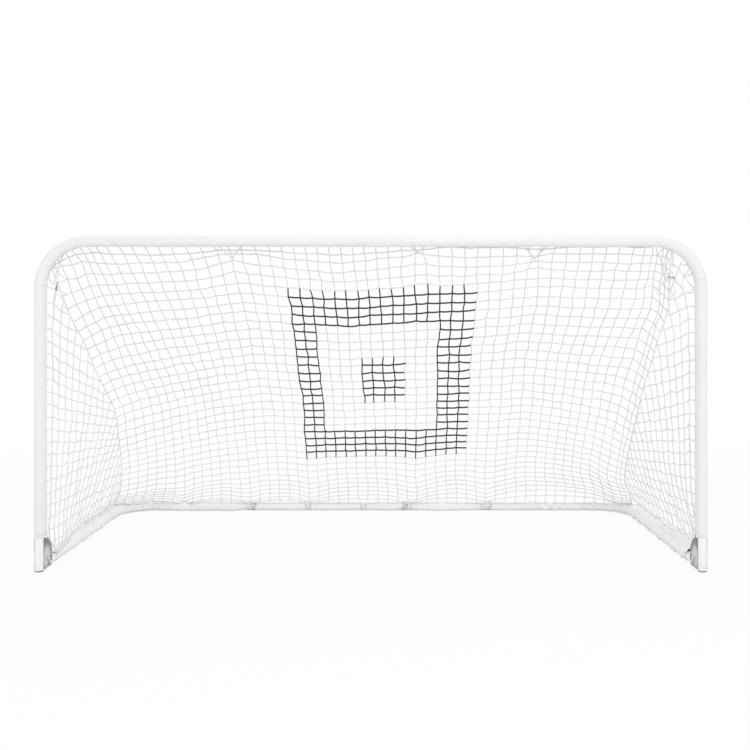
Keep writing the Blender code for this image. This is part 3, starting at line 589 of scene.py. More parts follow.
def clothTube(name, spine, outward, sideways, reach, finish):
    # a sleeve round a spine: outer and inner walls, closed at both hems, with a UV map in metres
    count, around = reach.shape
    angles = fullTurn(around)[None, :, None]
    arm = np.cos(angles) * outward[:, None, :] + np.sin(angles) * sideways
    walls = [spine[:, None, :] + arm * (reach - inside)[:, :, None]
             for inside in (0.0, clothWall["thickness"])]
    vertices = np.concatenate([wall.reshape(-1, 3) for wall in walls])
    row, col = np.meshgrid(np.arange(count - 1), np.arange(around), indexing="ij")
    a, b = row * around + col, row * around + (col + 1) % around
    c, d = b + around, a + around
    shift = count * around
    ring, after = np.arange(around), (np.arange(around) + 1) % around
    last = (count - 1) * around
    faces = np.concatenate([together(a, b, c, d).reshape(-1, 4),
                            together(d, c, b, a).reshape(-1, 4) + shift,
                            together(ring + shift, after + shift, after, ring),
                            together(last + ring, last + after, last + after + shift, last + ring + shift)])
    piece = newObject(name, vertices, faces, (), finish)
    # which way round the faces go depends on the spine's direction
    facingAway(piece, (count // 2) * around, spine[count // 2])
    mesh = piece.data
    loops = np.zeros(len(mesh.loops), dtype=np.int64)
    mesh.loops.foreach_get("vertex_index", loops)
    faceOf = np.repeat(np.arange(len(mesh.polygons)), 4)
    columnOf = loops % around
    # corners past the closing line take the full turn
    wrap = np.zeros(len(mesh.polygons), dtype=bool)
    np.logical_or.at(wrap, faceOf, columnOf == around - 1)
    u = lengthsAlong(spine)[(loops % shift) // around]
    v = np.where(wrap[faceOf] & (columnOf == 0), 1.0, columnOf / around)
    girth = 2 * math.pi * float(np.mean(reach))
    layer = mesh.uv_layers.new(name="UVMap")
    layer.data.foreach_set("uv", together(u, v * girth).astype(np.float32).ravel())
    mesh.update()
    return piece


stitching = {
    "sizes": {"Spacing": 0.0056, "Stitch Length": 0.0038, "Thread Radius": 0.00035},
    "floorGap": 0.0008,
}


def hemLine(spine, outward, sideways, reach, place):
    # the line of a hem's stitches, once round the cloth and clear of the floor
    angles = fullTurn(reach.shape[1])[:, None]
    arm = np.cos(angles) * outward[place] + np.sin(angles) * sideways
    ring = spine[place] + arm * reach[place][:, None]
    ring[:, 2] = np.maximum(ring[:, 2], stitching["floorGap"])
    return np.vstack([ring, ring[:1]])


# the front sleeve

frontSleeve = {
    "axisX": 1.2008,
    "axisZ": 1.199,
    "bendRadius": 0.1718,
    "radius": 0.021,
    "footZ": 0.125,
    "hemTop": 0.155,
    "hemLip": 0.012,
    "hemWaves": 13,
    "hemWaveDepth": 0.0004,
    "hemGroove": {"depth": 0.0005, "height": 0.010, "width": 0.0022},
    "footRadius": 0.0178,
    "stitchPlaces": [4, -5],
    "width": 0.132,
    "slack": 0.0032,
    "around": 56,
    "rippledTop": 0.46,    # rings are close together below this height
    "closeRings": 0.004,
    "wideRings": 0.009,
    "barRings": 0.008,
    "seed": 11,
    # how deep the folds are, on the posts, in the bends and on the crossbar
    "longFold": 0.00075,
    "striation": 0.00022,
    "bendBunch": 0.0013,
    "bendFold": 0.0004,
    "calmFold": 0.0004,
    "lowRipple": 0.00085,
    "rippleHeights": (0.48, 0.34),    # the fine ripples grow on the way down between these
    # drag folds on the front of the crossbar: x and turn at the start, at the middle and at the end
    "folds": [
        (0.661, -150, 0.722, -69, 0.804, -37),
        (-0.682, -89, -0.649, -140, -0.592, -178),
        (-0.424, -150, -0.366, -104, -0.300, -48),
        (-0.372, -128, -0.352, -140, -0.330, -152),
        (0.248, -150, 0.292, -98, 0.352, -60),
        (0.910, -140, 0.948, -95, 0.985, -55),
        (-0.985, -60, -0.950, -100, -0.905, -150),
        (0.455, -128, 0.520, -104, 0.575, -66),
        (-0.118, -158, -0.050, -118, 0.018, -92),
    ],
    "foldDepth": 0.0013,
    "foldWidth": 0.011,
}


def frontSpine():
    # the sleeve's axis from the left foot over the crossbar to the right foot, and its outward side
    s = frontSleeve
    top, share = goal["topCornerZ"], np.linspace(0, 1, 11)
    foot = together(-goal["postX"] + (goal["postX"] - s["axisX"]) * share,
                    s["footZ"] + share * (s["hemTop"] - s["footZ"]))
    heights = np.concatenate([np.arange(s["hemTop"] + s["closeRings"], s["rippledTop"], s["closeRings"]),
                              np.arange(s["rippledTop"], top, s["wideRings"])])
    post = together(-s["axisX"], heights[heights < top - s["closeRings"]])
    bend = arcPoints((-goal["topCornerX"], top), s["bendRadius"], 180, 90, 74)
    bar = together(np.arange(-goal["topCornerX"] + s["barRings"], 0.0, s["barRings"]), s["axisZ"])
    half = np.vstack([foot, post, bend, bar])
    flat = np.vstack([half, [[0.0, s["axisZ"]]], half[::-1] * np.array([-1, 1])])
    spine = together(flat[:, 0], goal["postY"], flat[:, 1])
    ahead = headings(spine)
    # outward is a quarter turn from the way ahead, in the frame's own plane
    outward = together(-ahead[:, 2], 0.0, ahead[:, 0])
    straight = spine[:, 2] < s["hemTop"]
    outward[straight] = np.sign(spine[straight][:, :1]) * np.array([[1.0, 0, 0]])
    return spine, outward


def foldMarks(x, a, folds, depth, width):
    # each fold is a soft groove with a low ridge beside it, on a slanting line
    total = np.zeros(np.broadcast(x, a).shape)
    degrees = np.degrees(a)
    degrees = np.where(degrees > 180, degrees - 360, degrees)
    for fold in folds:
        places, turns = np.array(fold[::2], float), np.array(fold[1::2], float)
        order = np.argsort(turns)
        line = np.interp(degrees, turns[order], places[order])
        low, high = turns.min(), turns.max()
        ends = smoothStep(degrees, low - 22, low + 12) * (1 - smoothStep(degrees, high - 12, high + 22))
        away = (x - line) / width
        total += depth * ends * (np.exp(-((away - 1.4) ** 2)) * 0.8 - np.exp(-(away ** 2)))
    return total


def makeFrontSleeve():
    s = frontSleeve
    rng = np.random.default_rng(s["seed"])
    spine, outward = frontSpine()
    along = lengthsAlong(spine)[:, None]
    a = fullTurn(s["around"])[None, :]
    x, z = spine[:, :1], spine[:, 2:]
    bent = ((np.abs(x) > goal["topCornerX"] - 0.02) & (z > goal["topCornerZ"] - 0.03)).astype(float)
    bent = np.convolve(bent[:, 0], np.ones(15) / 15, "same")[:, None]
    onPost = smoothStep(-z, -goal["topCornerZ"] - 0.02, -goal["topCornerZ"] + 0.12)
    onRight = (x > 0).astype(float)
    longFolds = ripples(rng, 5, 2, 6, 1.0, 9.0)
    striations = ripples(rng, 4, 11, 19, 2.0, 12.0)
    bunch = ripples(rng, 4, 0, 2, 270.0, 380.0)
    calm = ripples(rng, 4, 1, 4, 3.0, 14.0)
    ripple = ripples(rng, 3, 0, 2, 380.0, 520.0)
    reach = np.full((len(spine), s["around"]), s["radius"])
    lines = s["striation"] * (0.5 + onRight) * striations(along, a)
    reach += onPost * (s["longFold"] * longFolds(along, a) + lines)
    inside = smoothStep(-np.cos(a), -0.1, 0.9)
    reach += bent * (s["bendBunch"] * inside * bunch(along, a) + s["bendFold"] * longFolds(along, a))
    reach += (1 - onPost) * (1 - bent) * s["calmFold"] * calm(along, a)
    # fine ripples low on the left post's outer side
    low = smoothStep(-z, *[-height for height in s["rippleHeights"]])
    lowLeft = (1 - onRight) * low * smoothStep(np.cos(a), 0.0, 0.8)
    reach += s["lowRipple"] * lowLeft * ripple(along, a)
    flatTop = (z > s["axisZ"] - 0.002).astype(float)
    reach += flatTop * foldMarks(x, a, s["folds"], s["foldDepth"], s["foldWidth"])
    # the foot is drawn in by its hem
    hem = 1 - smoothStep(z, s["footZ"], s["hemTop"])
    lip = smoothStep(z, s["footZ"], s["footZ"] + s["hemLip"])
    waves = s["hemWaveDepth"] * np.cos(s["hemWaves"] * a) * lip
    groove = s["hemGroove"]
    sunk = groove["depth"] * np.exp(-((z - s["footZ"] - groove["height"]) / groove["width"]) ** 2)
    reach = reach * (1 - hem) + (s["footRadius"] + waves - sunk) * hem
    reach = np.maximum(reach, tubeReach(s["slack"] * (1 - hem), np.cos(a), np.sin(a)))
    piece = clothTube("front_sleeve", spine, outward, backward, reach, sleeveCloth)
    stitches = [hemLine(spine, outward, backward, reach, place) for place in s["stitchPlaces"]]
    return piece, float(along[-1, 0]), stitches


piece, length, frontStitches = makeFrontSleeve()
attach(piece, "front_frame")
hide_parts("left_post_sleeve", "crossbar_sleeve", "right_post_sleeve")
print("front sleeve made")


# the base sleeves, drawn in at the bands

baseSleeve = {
    "axisZ": 0.020,
    "bendRadius": 0.17,
    "radius": 0.020,
    "startY": -0.3945,
    "lateHem": {-1: 0.0, 1: 0.0105},    # the right hem keeps clear of its bracket when folded up
    "hemLength": 0.03,
    "hemRadius": 0.0178,
    "hemWaves": 12,
    "hemWaveDepth": 0.0003,
    "stitchPlace": 5,
    "around": 44,
    "tubeSlack": 0.0022,
    "gap": 0.0122,
    "neckRadius": 0.0185,
    "neckLength": 0.035,
    "pleats": 11,
    "pleatDepth": 0.0005,
    "pleatTwist": {"side": 40, "back": 60},    # how fast the pleats wind along the tube
    "sideSlack": 0.019,
    "slackTurn": 36,
    "slackStart": {-1: 0.02, 1: -0.24},    # the right hem is open wide
    "slackRise": 0.32,
    "slackEnd": (0.74, 0.96),
    "flapSlack": 0.017,    # more slack at the right hem, and where it ends
    "flapEnd": (0.05, 0.45),
    "foldedHeight": 0.0265,
    "closeRings": 0.004,
    "wideRings": 0.006,
    "backRings": 0.005,
    "width": 0.126,
    "seed": 23,
    # how deep the folds are
    "longFold": 0.0006,
    "crossFold": 0.0021,
    "smallFold": 0.0006,
    "calmFold": 0.0003,
    "slumpTurn": 200,    # the cloth slumps forward and down
    # where the side cloth's bunching and slump come and go, as distances to the first band
    "bunchRise": 0.18,
    "bunchEnd": (0.32, 0.12),
    "slumpRise": (0.5, 0.25),
    "slumpEnd": (0.08, 0.02),
    # the back cloth is bunched beside its bands
    "backBunch": {"least": 0.16, "atBands": 0.5, "places": (0.04, 0.96), "width": 0.07},
    "slumpWidth": 0.24,
    # each side's bunched cloth: where it starts, how strong it is and how deep it slumps
    "sides": {"left": (-1, -goal["strapPlaces"][0], 0.1, 1.2, 0.012),
              "right": (1, goal["strapPlaces"][-1], -0.15, 1.9, 0.002)},
    # between the bands: how deep the cloth slumps, and where
    "slumps": [(0.004, 0.75), (0.003, 0.3), (0.005, 0.5), (0.011, 0.45)],
}


def baseSpine(sign, inner):
    # from the front hem back along the side, round the corner and in to the first band
    s = baseSleeve
    corner = (goal["baseCornerX"], goal["baseCornerY"])
    start = s["startY"] + s["lateHem"][sign]
    close = np.arange(start, start + 0.04, s["closeRings"])
    wide = np.arange(start + 0.04, corner[1] - s["wideRings"] / 2, s["wideRings"])
    back = np.append(np.arange(corner[0] - s["backRings"], inner, -s["backRings"]), inner)
    flat = np.vstack([together(goal["postX"], np.concatenate([close, wide])),
                      arcPoints(corner, s["bendRadius"], 0, 90, 66), together(back, goal["backY"])])
    return together(sign * flat[:, 0], flat[:, 1], s["axisZ"])


def clothReach(along, rng, bunched, slump):
    # the loose cloth of one base sleeve: long folds, cross folds where it is bunched, and a slump
    s = baseSleeve
    a = fullTurn(s["around"])[None, :]
    longFolds = ripples(rng, 5, 2, 6, 4.0, 30.0)
    crossFolds = ripples(rng, 6, 0, 3, 60.0, 200.0)
    small = ripples(rng, 4, 2, 8, 160.0, 420.0)
    reach = np.full((len(along), s["around"]), s["radius"] - s["longFold"])
    reach += s["longFold"] * longFolds(along, a)
    reach += bunched * (s["crossFold"] * crossFolds(along, a) + s["smallFold"] * small(along, a))
    reach += (1 - bunched) * s["calmFold"] * small(along, a)
    forward = np.maximum(np.cos(a - math.radians(s["slumpTurn"])), 0) ** 1.5
    return reach + slump * forward, a


def drawnIn(reach, a, along, fromBand, twist):
    # pleats where a band holds the cloth
    s = baseSleeve
    neck = 1 - smoothStep(fromBand, 0.0, s["neckLength"])
    pleats = s["neckRadius"] + s["pleatDepth"] * np.cos(s["pleats"] * a + twist * along)
    return reach * (1 - neck) + pleats * neck


def looseness(along, sign):
    # how much of its slack the side sleeve has, by the distance from its hem
    s = baseSleeve
    start = s["slackStart"][sign]
    return smoothStep(along, start, start + s["slackRise"]) * (1 - smoothStep(along, *s["slackEnd"]))


def slackReach(along, a, sign):
    # loose cloth that stands out from the side tube as far as the corner
    s = baseSleeve
    away = np.maximum(np.cos(a - math.radians(s["slackTurn"])), 0)
    depth = s["sideSlack"] + (s["flapSlack"] * (1 - smoothStep(along, *s["flapEnd"])) if sign > 0 else 0)
    return depth * looseness(along, sign) * away ** 2 * (1 + 0.12 * np.cos(23 * along + 2 * a))


def keptClear(reach, a):
    # neither into the tube nor into the floor
    s = baseSleeve
    reach = np.maximum(reach, tubeReach(s["tubeSlack"], -np.sin(a), np.cos(a)))
    return np.minimum(reach, (s["axisZ"] - clothWall["floorGap"]) / np.maximum(-np.sin(a), 1e-6))


def wayRound(reach, a):
    # the mean distance round the cloth, which is its width when cut
    ring = reach[..., None] * together(np.cos(a), np.sin(a))
    steps = np.linalg.norm(ring - np.roll(ring, 1, axis=1), axis=-1)
    return float(steps.sum(axis=1).mean())


def makeSideSleeve(side, sign, band, bunchStart, strength, slumpDepth):
    s = baseSleeve
    rng = np.random.default_rng(s["seed"] + (1 if sign > 0 else 0))
    spine = baseSpine(sign, band + s["gap"])
    ahead = headings(spine)
    outward = together(ahead[:, 1] * sign, -ahead[:, 0] * sign, 0.0)
    late = s["lateHem"][sign]
    along = lengthsAlong(spine)[:, None] + late
    total = along[-1, 0]
    bunched = strength * smoothStep(along, bunchStart, bunchStart + s["bunchRise"])
    bunched = bunched * (1 - smoothStep(along, *[total - left for left in s["bunchEnd"]]))
    slump = slumpDepth * smoothStep(along, *[total - left for left in s["slumpRise"]])
    slump = slump * (1 - smoothStep(along, *[total - left for left in s["slumpEnd"]]))
    reach, a = clothReach(along, rng, bunched, slump)
    slack = slackReach(along, a, sign)
    reach = drawnIn(reach + slack, a, along, total - along, s["pleatTwist"]["side"])
    hem = 1 - smoothStep(along, late, late + s["hemLength"])
    waves = s["hemWaveDepth"] * np.cos(s["hemWaves"] * a)
    hemReach = s["hemRadius"] + waves + (slack if sign > 0 else 0)
    reach = reach * (1 - hem) + hemReach * hem
    # low enough straight above the tube to pass behind the post when the base is folded up
    beside = smoothStep(np.abs(np.cos(a)), 0.35, 0.75)
    ceiling = s["foldedHeight"] / np.maximum(np.sin(a), 1e-6) + 0.03 * beside
    reach = keptClear(np.minimum(reach, ceiling), a)
    piece = clothTube(f"{side}_side_cloth", spine, outward, upward, reach, baseCloth)
    stitches = hemLine(spine, outward, upward, reach, s["stitchPlace"])
    return piece, total - late, wayRound(reach, a), stitches


def makeBackSleeve(number, before, after, slumpDepth, slumpPlace):
    s = baseSleeve
    rng = np.random.default_rng(s["seed"] + 10 + number)
    start, stop = before + s["gap"], after - s["gap"]
    count = max(12, int((stop - start) / s["closeRings"]))
    spine = together(np.linspace(start, stop, count), goal["backY"], s["axisZ"])
    along = lengthsAlong(spine)[:, None]
    total = along[-1, 0]
    share = along / total
    bunch = s["backBunch"]
    nearBands = sum(np.exp(-((share - place) / bunch["width"]) ** 2) for place in bunch["places"])
    bunched = bunch["least"] + bunch["atBands"] * nearBands
    slump = slumpDepth * np.exp(-((share - slumpPlace) / s["slumpWidth"]) ** 2)
    reach, a = clothReach(along, rng, bunched, slump)
    fromBand = np.minimum(along, total - along)
    reach = keptClear(drawnIn(reach, a, along, fromBand, s["pleatTwist"]["back"]), a)
    outward = np.tile(backward, (count, 1))
    return clothTube(f"back_cloth_{number}", spine, outward, upward, reach, baseCloth), float(total)


baseStitches = []
for side, shape in baseSleeve["sides"].items():
    piece, length, girth, stitches = makeSideSleeve(side, *shape)
    baseStitches.append(stitches)
    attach(piece, "base_frame")
    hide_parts(f"{side}_base_sleeve")
bandPairs = zip(goal["strapPlaces"], goal["strapPlaces"][1:], baseSleeve["slumps"])
for number, (before, after, slump) in enumerate(bandPairs, 1):
    piece, length = makeBackSleeve(number, before, after, *slump)
    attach(piece, "base_frame")
    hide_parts(f"back_sleeve_{number}")
print("base sleeves made")


# bands round the back tube

bands = {
    "width": 0.022,
    "thickness": 0.0014,
    "tubeGap": 0.0003,
    "edgeY": 0.51487,
    "edgeZ": 0.03563,
    "edgeRadius": 0.0023,
    "underBevel": 0.0006,
    "overBevel": 0.0008,
    "wobble": 0.0006,
    "doubledTurn": 172,    # the middle of the doubled part, in degrees round the tube
    "doubledLift": 0.8,
    "stitchTurns": [190, 212],
    "stitchHalf": 0.0092,
    "stitchLift": 1.85,
    "seed": 60,
}


def beltLine(bigCentre, bigRadius, smallCentre, smallRadius, steps):
    # the outline of a belt round two circles, in the (y, z) plane
    way = np.array(smallCentre) - np.array(bigCentre)
    middle, spread = math.atan2(way[1], way[0]), math.acos((bigRadius - smallRadius) / math.hypot(*way))
    low, high = math.degrees(middle - spread), math.degrees(middle + spread)
    return np.vstack([arcPoints(smallCentre, smallRadius, low, high, 8),
                      arcPoints(bigCentre, bigRadius, high, low + 360, steps)])


def makeBand(number, place):
    # a closed webbing loop with rounded long edges, doubled where its end is sewn down in front
    s = bands
    rng = np.random.default_rng(s["seed"] + number)
    tube = np.array([goal["backY"], goal["baseZ"]])
    line = beltLine(tube, goal["tubeRadius"] + s["tubeGap"], (s["edgeY"], s["edgeZ"]), s["edgeRadius"], 40)
    count = len(line)
    ahead = np.roll(line, -1, axis=0) - np.roll(line, 1, axis=0)
    ahead /= np.linalg.norm(ahead, axis=1)[:, None]
    out = together(ahead[:, 1], -ahead[:, 0])
    half, thick = s["width"] / 2, s["thickness"]
    # cross-section round the webbing: across the band, and out from the tube
    under, over = half - s["underBevel"], half - s["overBevel"]
    section = [(-half, 0.15), (-under, 0.0), (0.0, 0.0), (under, 0.0), (half, 0.15), (half, 0.7),
               (over, 1.0), (half / 2, 1.06), (0.0, 1.0), (-half / 2, 1.06), (-over, 1.0), (-half, 0.7)]
    wobble = s["wobble"] * np.sin(fullTurn(count) * 2 + rng.uniform(0, 6))
    # the doubled part, on the front of the tube
    turn = np.arctan2(line[:, 1] - tube[1], line[:, 0] - tube[0])
    middle = math.radians(s["doubledTurn"])
    doubled = np.maximum(*[smoothStep(-np.abs(turn - way * middle), -0.62, -0.5) for way in (-1, 1)])
    vertices = []
    for i in range(count):
        for across, up in section:
            lift = thick * up * (1 + s["doubledLift"] * doubled[i] * (up > 0.5))
            y, z = line[i] + out[i] * lift
            vertices.append((place + across + wobble[i], y, max(z, clothWall["floorGap"])))
    ring = len(section)
    corner = [(0, 0), (0, 1), (1, 1), (1, 0)]
    faces = [[(i + down) % count * ring + (j + over) % ring for down, over in corner]
             for i in range(count) for j in range(ring)]
    piece = newObject(f"back_band_{number}", vertices, faces, (), bandWebbing)
    facingAway(piece, 8, (piece.data.polygons[8].center[0], *tube))
    mesh = piece.data
    layer = mesh.uv_layers.new(name="UVMap")
    lengths = lengthsAlong(np.vstack([line, line[:1]]))
    for polygon in mesh.polygons:
        closing = polygon.index // ring == count - 1
        for loop in polygon.loop_indices:
            row, column = divmod(mesh.loops[loop].vertex_index, ring)
            layer.data[loop].uv = (lengths[-1 if closing and row == 0 else row], section[column][0])
    # two rows of stitches across the doubled part
    stitches = []
    for wanted in s["stitchTurns"]:
        i = int(np.argmin(np.abs(np.degrees(turn) % 360 - wanted)))
        y, z = line[i] + out[i] * thick * s["stitchLift"]
        stitches.append([(place + wobble[i] + side * s["stitchHalf"], y, z) for side in (-1, 1)])
    return piece, stitches


bandStitches = []
for number, place in enumerate(goal["strapPlaces"], 1):
    piece, stitches = makeBand(number, place)
    bandStitches += stitches
    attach(piece, "base_frame")
    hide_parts(f"back_strap_{number}")
print("bands made")

# stitches of the hems and of the bands' doubled ends
for name, lines, body, slot in (("front_hem_stitches", frontStitches, "front_frame", "fabric"),
                                ("base_hem_stitches", baseStitches, "base_frame", "fabric"),
                                ("band_stitches", bandStitches, "base_frame", "band")):
    piece = dressLines(name, lines, stitchTree, {**stitching["sizes"], "Finish": seamThread})
    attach(piece, body)
print("stitches made")


# twine lashings round the back tube and its sleeve

lashings = {
    "coils": [(-0.908, 3), (-0.5755, 2), (0.1405, 3), (0.549, 2)],    # place and turns
    "pitch": 0.0075,
    "reach": 0.0226,
    "twineRadius": 0.0013,
    "knotSize": 0.0036,
    "knotOff": 0.002,
    "floorGap": 0.0004,
}


def lashingLine(place, turns):
    # a close coil round tube, sleeve and edge cord, flattened where it lies on the floor
    s = lashings
    turn = np.linspace(0, 2 * math.pi * turns, 26 * turns) - math.pi
    z = baseSleeve["axisZ"] + s["reach"] * np.sin(turn)
    return together(place + s["pitch"] * (turn / (2 * math.pi) - turns / 2 + 0.5),
                    goal["backY"] + s["reach"] * np.cos(turn),
                    np.maximum(z, s["twineRadius"] + s["floorGap"]))


coils = [lashingLine(place, turns) for place, turns in lashings["coils"]]
middles = [coil[len(coil) // 2] for coil in coils]
knotSpots = [spot + backward * math.copysign(lashings["knotOff"], spot[1] - goal["backY"])
             for spot in middles]
for piece in (twine("lashings", coils, lashings["twineRadius"], lashTwine),
              knotted("lashing_knots", knotSpots, lashings["knotSize"], 6, lashTwine)):
    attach(piece, "base_frame")
print("lashings made")


# the net

netting = {
    "columns": 53,
    "rowShares": [1.0] * 31 + [0.9, 0.85, 0.8, 0.75, 0.7, 0.65],
    "turnedColumns": [0.5, 0.5],    # the last two are half turned away
    "slope": 1.54,
    "crowding": 0.008,
    "topCrowding": 0.0032,
    "twineRadius": 0.0025,
    # strands that are thicker or thinner than the side nets'
    "thickness": {"back_net": 1.06, "back_net_columns": 0.84, "net_motif_rows": 1.45,
                  "net_motif_columns": 1.1, "net_corner_bunches": 2.3},
    "knotSize": 0.0034,
    "hangKnotSize": 0.0042,
    "loops": {"Spacing": 0.0434, "Loop Radius": 0.0033, "Thread Radius": 0.0008},
    "edgeRadius": 0.0022,
    "ridgeRadius": 0.0029,
    "frontY": -0.51317,
    "topZ": 1.18267,
    "topArc": 0.15547,
    "postEdgeX": 1.18447,
    "footZ": 0.129,
    "lowY": 0.51487,
    "lowZ": 0.03563,
    "edgeReach": 0.0221,
    "lowStartY": -0.392,
    "leftTop": 29.0,
    "rightTop": 64.0,
    "leftLow": 15.0,
    "rightLow": 20.0,
    "mesh": 0.044,
    "leftBelly": 0.016,
    "rightBelly": 0.082,
    "bellyPlaces": (-0.55, 0.75),    # the belly deepens between these places
    "leftRidgeReach": 0.62,
    "rightRidgeReach": 0.5,
    "lean": 0.02,
    "leanPlace": 0.1,
    "leanRows": (3.0, 12.0),
    # the upper columns lean out: how far, and where along the width that comes and goes
    "rightSpread": {"most": 0.085, "start": 0.56, "run": 0.36, "end": (0.92, 1.0)},
    "leftSpread": {"most": 0.075, "start": (0.01, 0.13), "end": (0.13, 0.40)},
    "spreadRows": 14,
    # how far some rows hang below even ones, in millimetres down the slope, read off the photograph
    # at these shares of the width
    "sagPlaces": [0.0, 0.04, 0.12, 0.24, 0.30, 0.37, 0.464, 0.595, 0.66, 0.78, 0.93, 0.965, 1.0],
    "sagLines": {
        1: [-42, -10, -5, -12, -35, -15, -5, -28, -38, -42, -42, -40, -40],
        2: [-85, -20, -5, -25, -65, -30, -10, -50, -35, -60, -50, -45, -45],
        6: [15, 25, 5, -20, -45, -20, -15, -50, -55, -100, -75, -85, -35],
        12: [75, 75, 45, -5, -35, -20, -15, -55, -65, -105, -60, -50, 5],
        21: [160, 155, 90, 20, -5, -5, -10, -55, -75, -95, -25, 15, 75],
        30: [155, 150, 105, 40, 30, 30, 15, -10, -45, -70, 0, 75, 75],
        33: [90, 95, 65, 25, 25, 25, 15, 0, -40, -45, 30, 75, 55],
        35: [55, 55, 50, 20, 20, 20, 15, 0, -25, -25, 20, 50, 40],
    },
    # where strands are tied together below the crossbar: x, and how far down the slope
    "hangKnots": [(-0.5125, 0.058), (0.1721, 0.027), (0.6039, 0.059)],
    # where the net is tied to the back tube, with the net bowed up between
    "lowTies": [-1.2, -0.908, -0.607, -0.296, 0.185, 0.517, 1.2],
    "bandBow": 0.0816,
    "bowRows": 3.2,
    "heldShare": 0.3,
    "fullSpan": 0.65,
    "pinchReach": 0.045,
    "hangPinch": 0.6,
    "bandPinch": 0.4,
    "jitter": 0.0022,
    "lowCalm": 0.75,    # the low rows are calmer and hang less between their knots
    "calmRows": (16, 30),
    "wander": 0.003,
    "sag": 0.0016,
    "lowSagLoss": 0.6,
    "sagRows": (14, 30),
    "strandWander": 0.0006,
    "fullStretch": 0.05,
    "edgeStep": 0.012,
    "motif": {"column": 27.6, "row": 16.0, "halfWidth": 8.1, "halfHeight": 10.6, "ringInside": 0.655,
              "block": 0.24},
    "seed": 5,
    "lowBand": 0.026,    # what is this close above the lower edge turns fully with the base
    # the net's side edges where back and sides meet: x, y, z from the top corner to the base
    "leftRidge": [(-1.142, -0.365, 0.913), (-1.123, -0.280, 0.823), (-1.107, -0.190, 0.708),
                  (-1.091, -0.100, 0.613), (-1.080, -0.020, 0.522), (-1.094, 0.070, 0.414),
                  (-1.122, 0.210, 0.263), (-1.161, 0.320, 0.136)],
    "rightRidge": [(1.117, -0.420, 1.025), (1.127, -0.375, 0.947), (1.114, -0.300, 0.847),
                   (1.103, -0.235, 0.739), (1.095, -0.150, 0.631), (1.093, -0.060, 0.510),
                   (1.095, 0.030, 0.403), (1.105, 0.140, 0.292), (1.122, 0.240, 0.195),
                   (1.166, 0.330, 0.124)],
    # the side rows: the first one's height and their step at the post, and how steeply they fall
    # towards the ridge: the most, and the heights where the fall is none and where it is the most
    "tubeRows": [0.086, 0.062],
    "endGap": 0.012,
    "firstRise": 0.007,
    "zigzag": 0.0028,
    "leftSide": {"first": 0.98, "step": 0.047, "fall": 0.355, "level": 0.33, "steep": 0.78},
    "rightSide": {"first": 1.015, "step": 0.0492, "fall": 0.22, "level": 0.20, "steep": 0.62},
}

# loose strands in the top corners, where the net is bunched: x and z along each strand
tangles = {
    "strands": [
        [(-1.125, 1.155), (-1.145, 1.105), (-1.15, 1.08), (-1.155, 1.06)],
        [(-1.125, 1.13), (-1.16, 1.115), (-1.15, 1.09), (-1.135, 1.07)],
        [(-1.18, 1.105), (-1.18, 1.075), (-1.17, 1.05), (-1.16, 1.04)],
        [(-1.16, 1.02), (-1.14, 0.99), (-1.13, 0.955)],
        [(-1.16, 1.02), (-1.165, 0.99), (-1.165, 0.95)],
        [(1.07, 1.18), (1.055, 1.155), (1.08, 1.12), (1.085, 1.09), (1.105, 1.075)],
        [(1.09, 1.175), (1.085, 1.15), (1.095, 1.13), (1.09, 1.105), (1.11, 1.075)],
        [(1.105, 1.16), (1.11, 1.12), (1.135, 1.10)],
        [(1.115, 1.065), (1.135, 1.045), (1.155, 1.03)],
        [(1.135, 1.10), (1.15, 1.075), (1.165, 1.05), (1.185, 1.025)],
        [(1.16, 1.13), (1.165, 1.10), (1.15, 1.075), (1.145, 1.03)],
        [(1.14, 1.115), (1.165, 1.12), (1.18, 1.105)],
        [(1.12, 1.05), (1.13, 1.015), (1.115, 1.0), (1.13, 0.975)],
        [(1.18, 1.09), (1.165, 1.075), (1.15, 1.075)],
        [(1.14, 1.01), (1.165, 1.015), (1.185, 1.03)],
        [(1.08, 1.12), (1.10, 1.12), (1.135, 1.10)],
    ],
    # thicker ones, where several strands run together
    "bunches": [
        [(1.11, 1.07), (1.085, 1.045), (1.075, 1.025), (1.08, 1.01)],
        [(-1.15, 1.09), (-1.155, 1.07), (-1.16, 1.045)],
    ],
    "fans": (-0.045, 0.04),    # the strands that hold a hanging knot
    "rightKnot": (1.151, -0.485, 1.072),
    # the strand that runs through each corner tie: the tie's place and the strand's direction
    "tieStrands": [((-1.1616, -0.4823, 1.0247), (0.5561, 0.7837, -0.2768), -0.038, 0.05),
                   ((1.1266, -0.4649, 1.069), (-0.1387, 0.5765, -0.8053), -0.07, 0.06)],
}

# down the slope of the back net, and in under it at right angles
slopeDown = np.array([0.0, 0.667, -0.745])
slopeIn = np.array([0.0, -0.745, -0.667])


def topPoint(sign, turn):
    # on the net's edge round the top corner, turn in degrees above level
    reach, turn = netting["topArc"], math.radians(turn)
    return (sign * (goal["topCornerX"] + reach * math.cos(turn)), netting["frontY"],
            goal["topCornerZ"] + reach * math.sin(turn))


def onSleeve(along, sign):
    # where the net's lower edge lies on the base sleeve: out from the tube's axis, and up
    turn = math.radians(135 - 90 * float(looseness(along, sign)))
    reach = netting["edgeReach"] + float(slackReach(along, turn, sign))
    return reach * math.cos(turn), reach * math.sin(turn)


def lowPoint(sign, turn):
    # on the net's edge round the base corner, turn in degrees from the side tube
    s, turn = baseSleeve, math.radians(turn)
    out, up = onSleeve(goal["baseCornerY"] - s["startY"] + s["bendRadius"] * turn, sign)
    arc = s["bendRadius"] + out
    return (sign * (goal["baseCornerX"] + arc * math.cos(turn)),
            goal["baseCornerY"] + arc * math.sin(turn), s["axisZ"] + up)


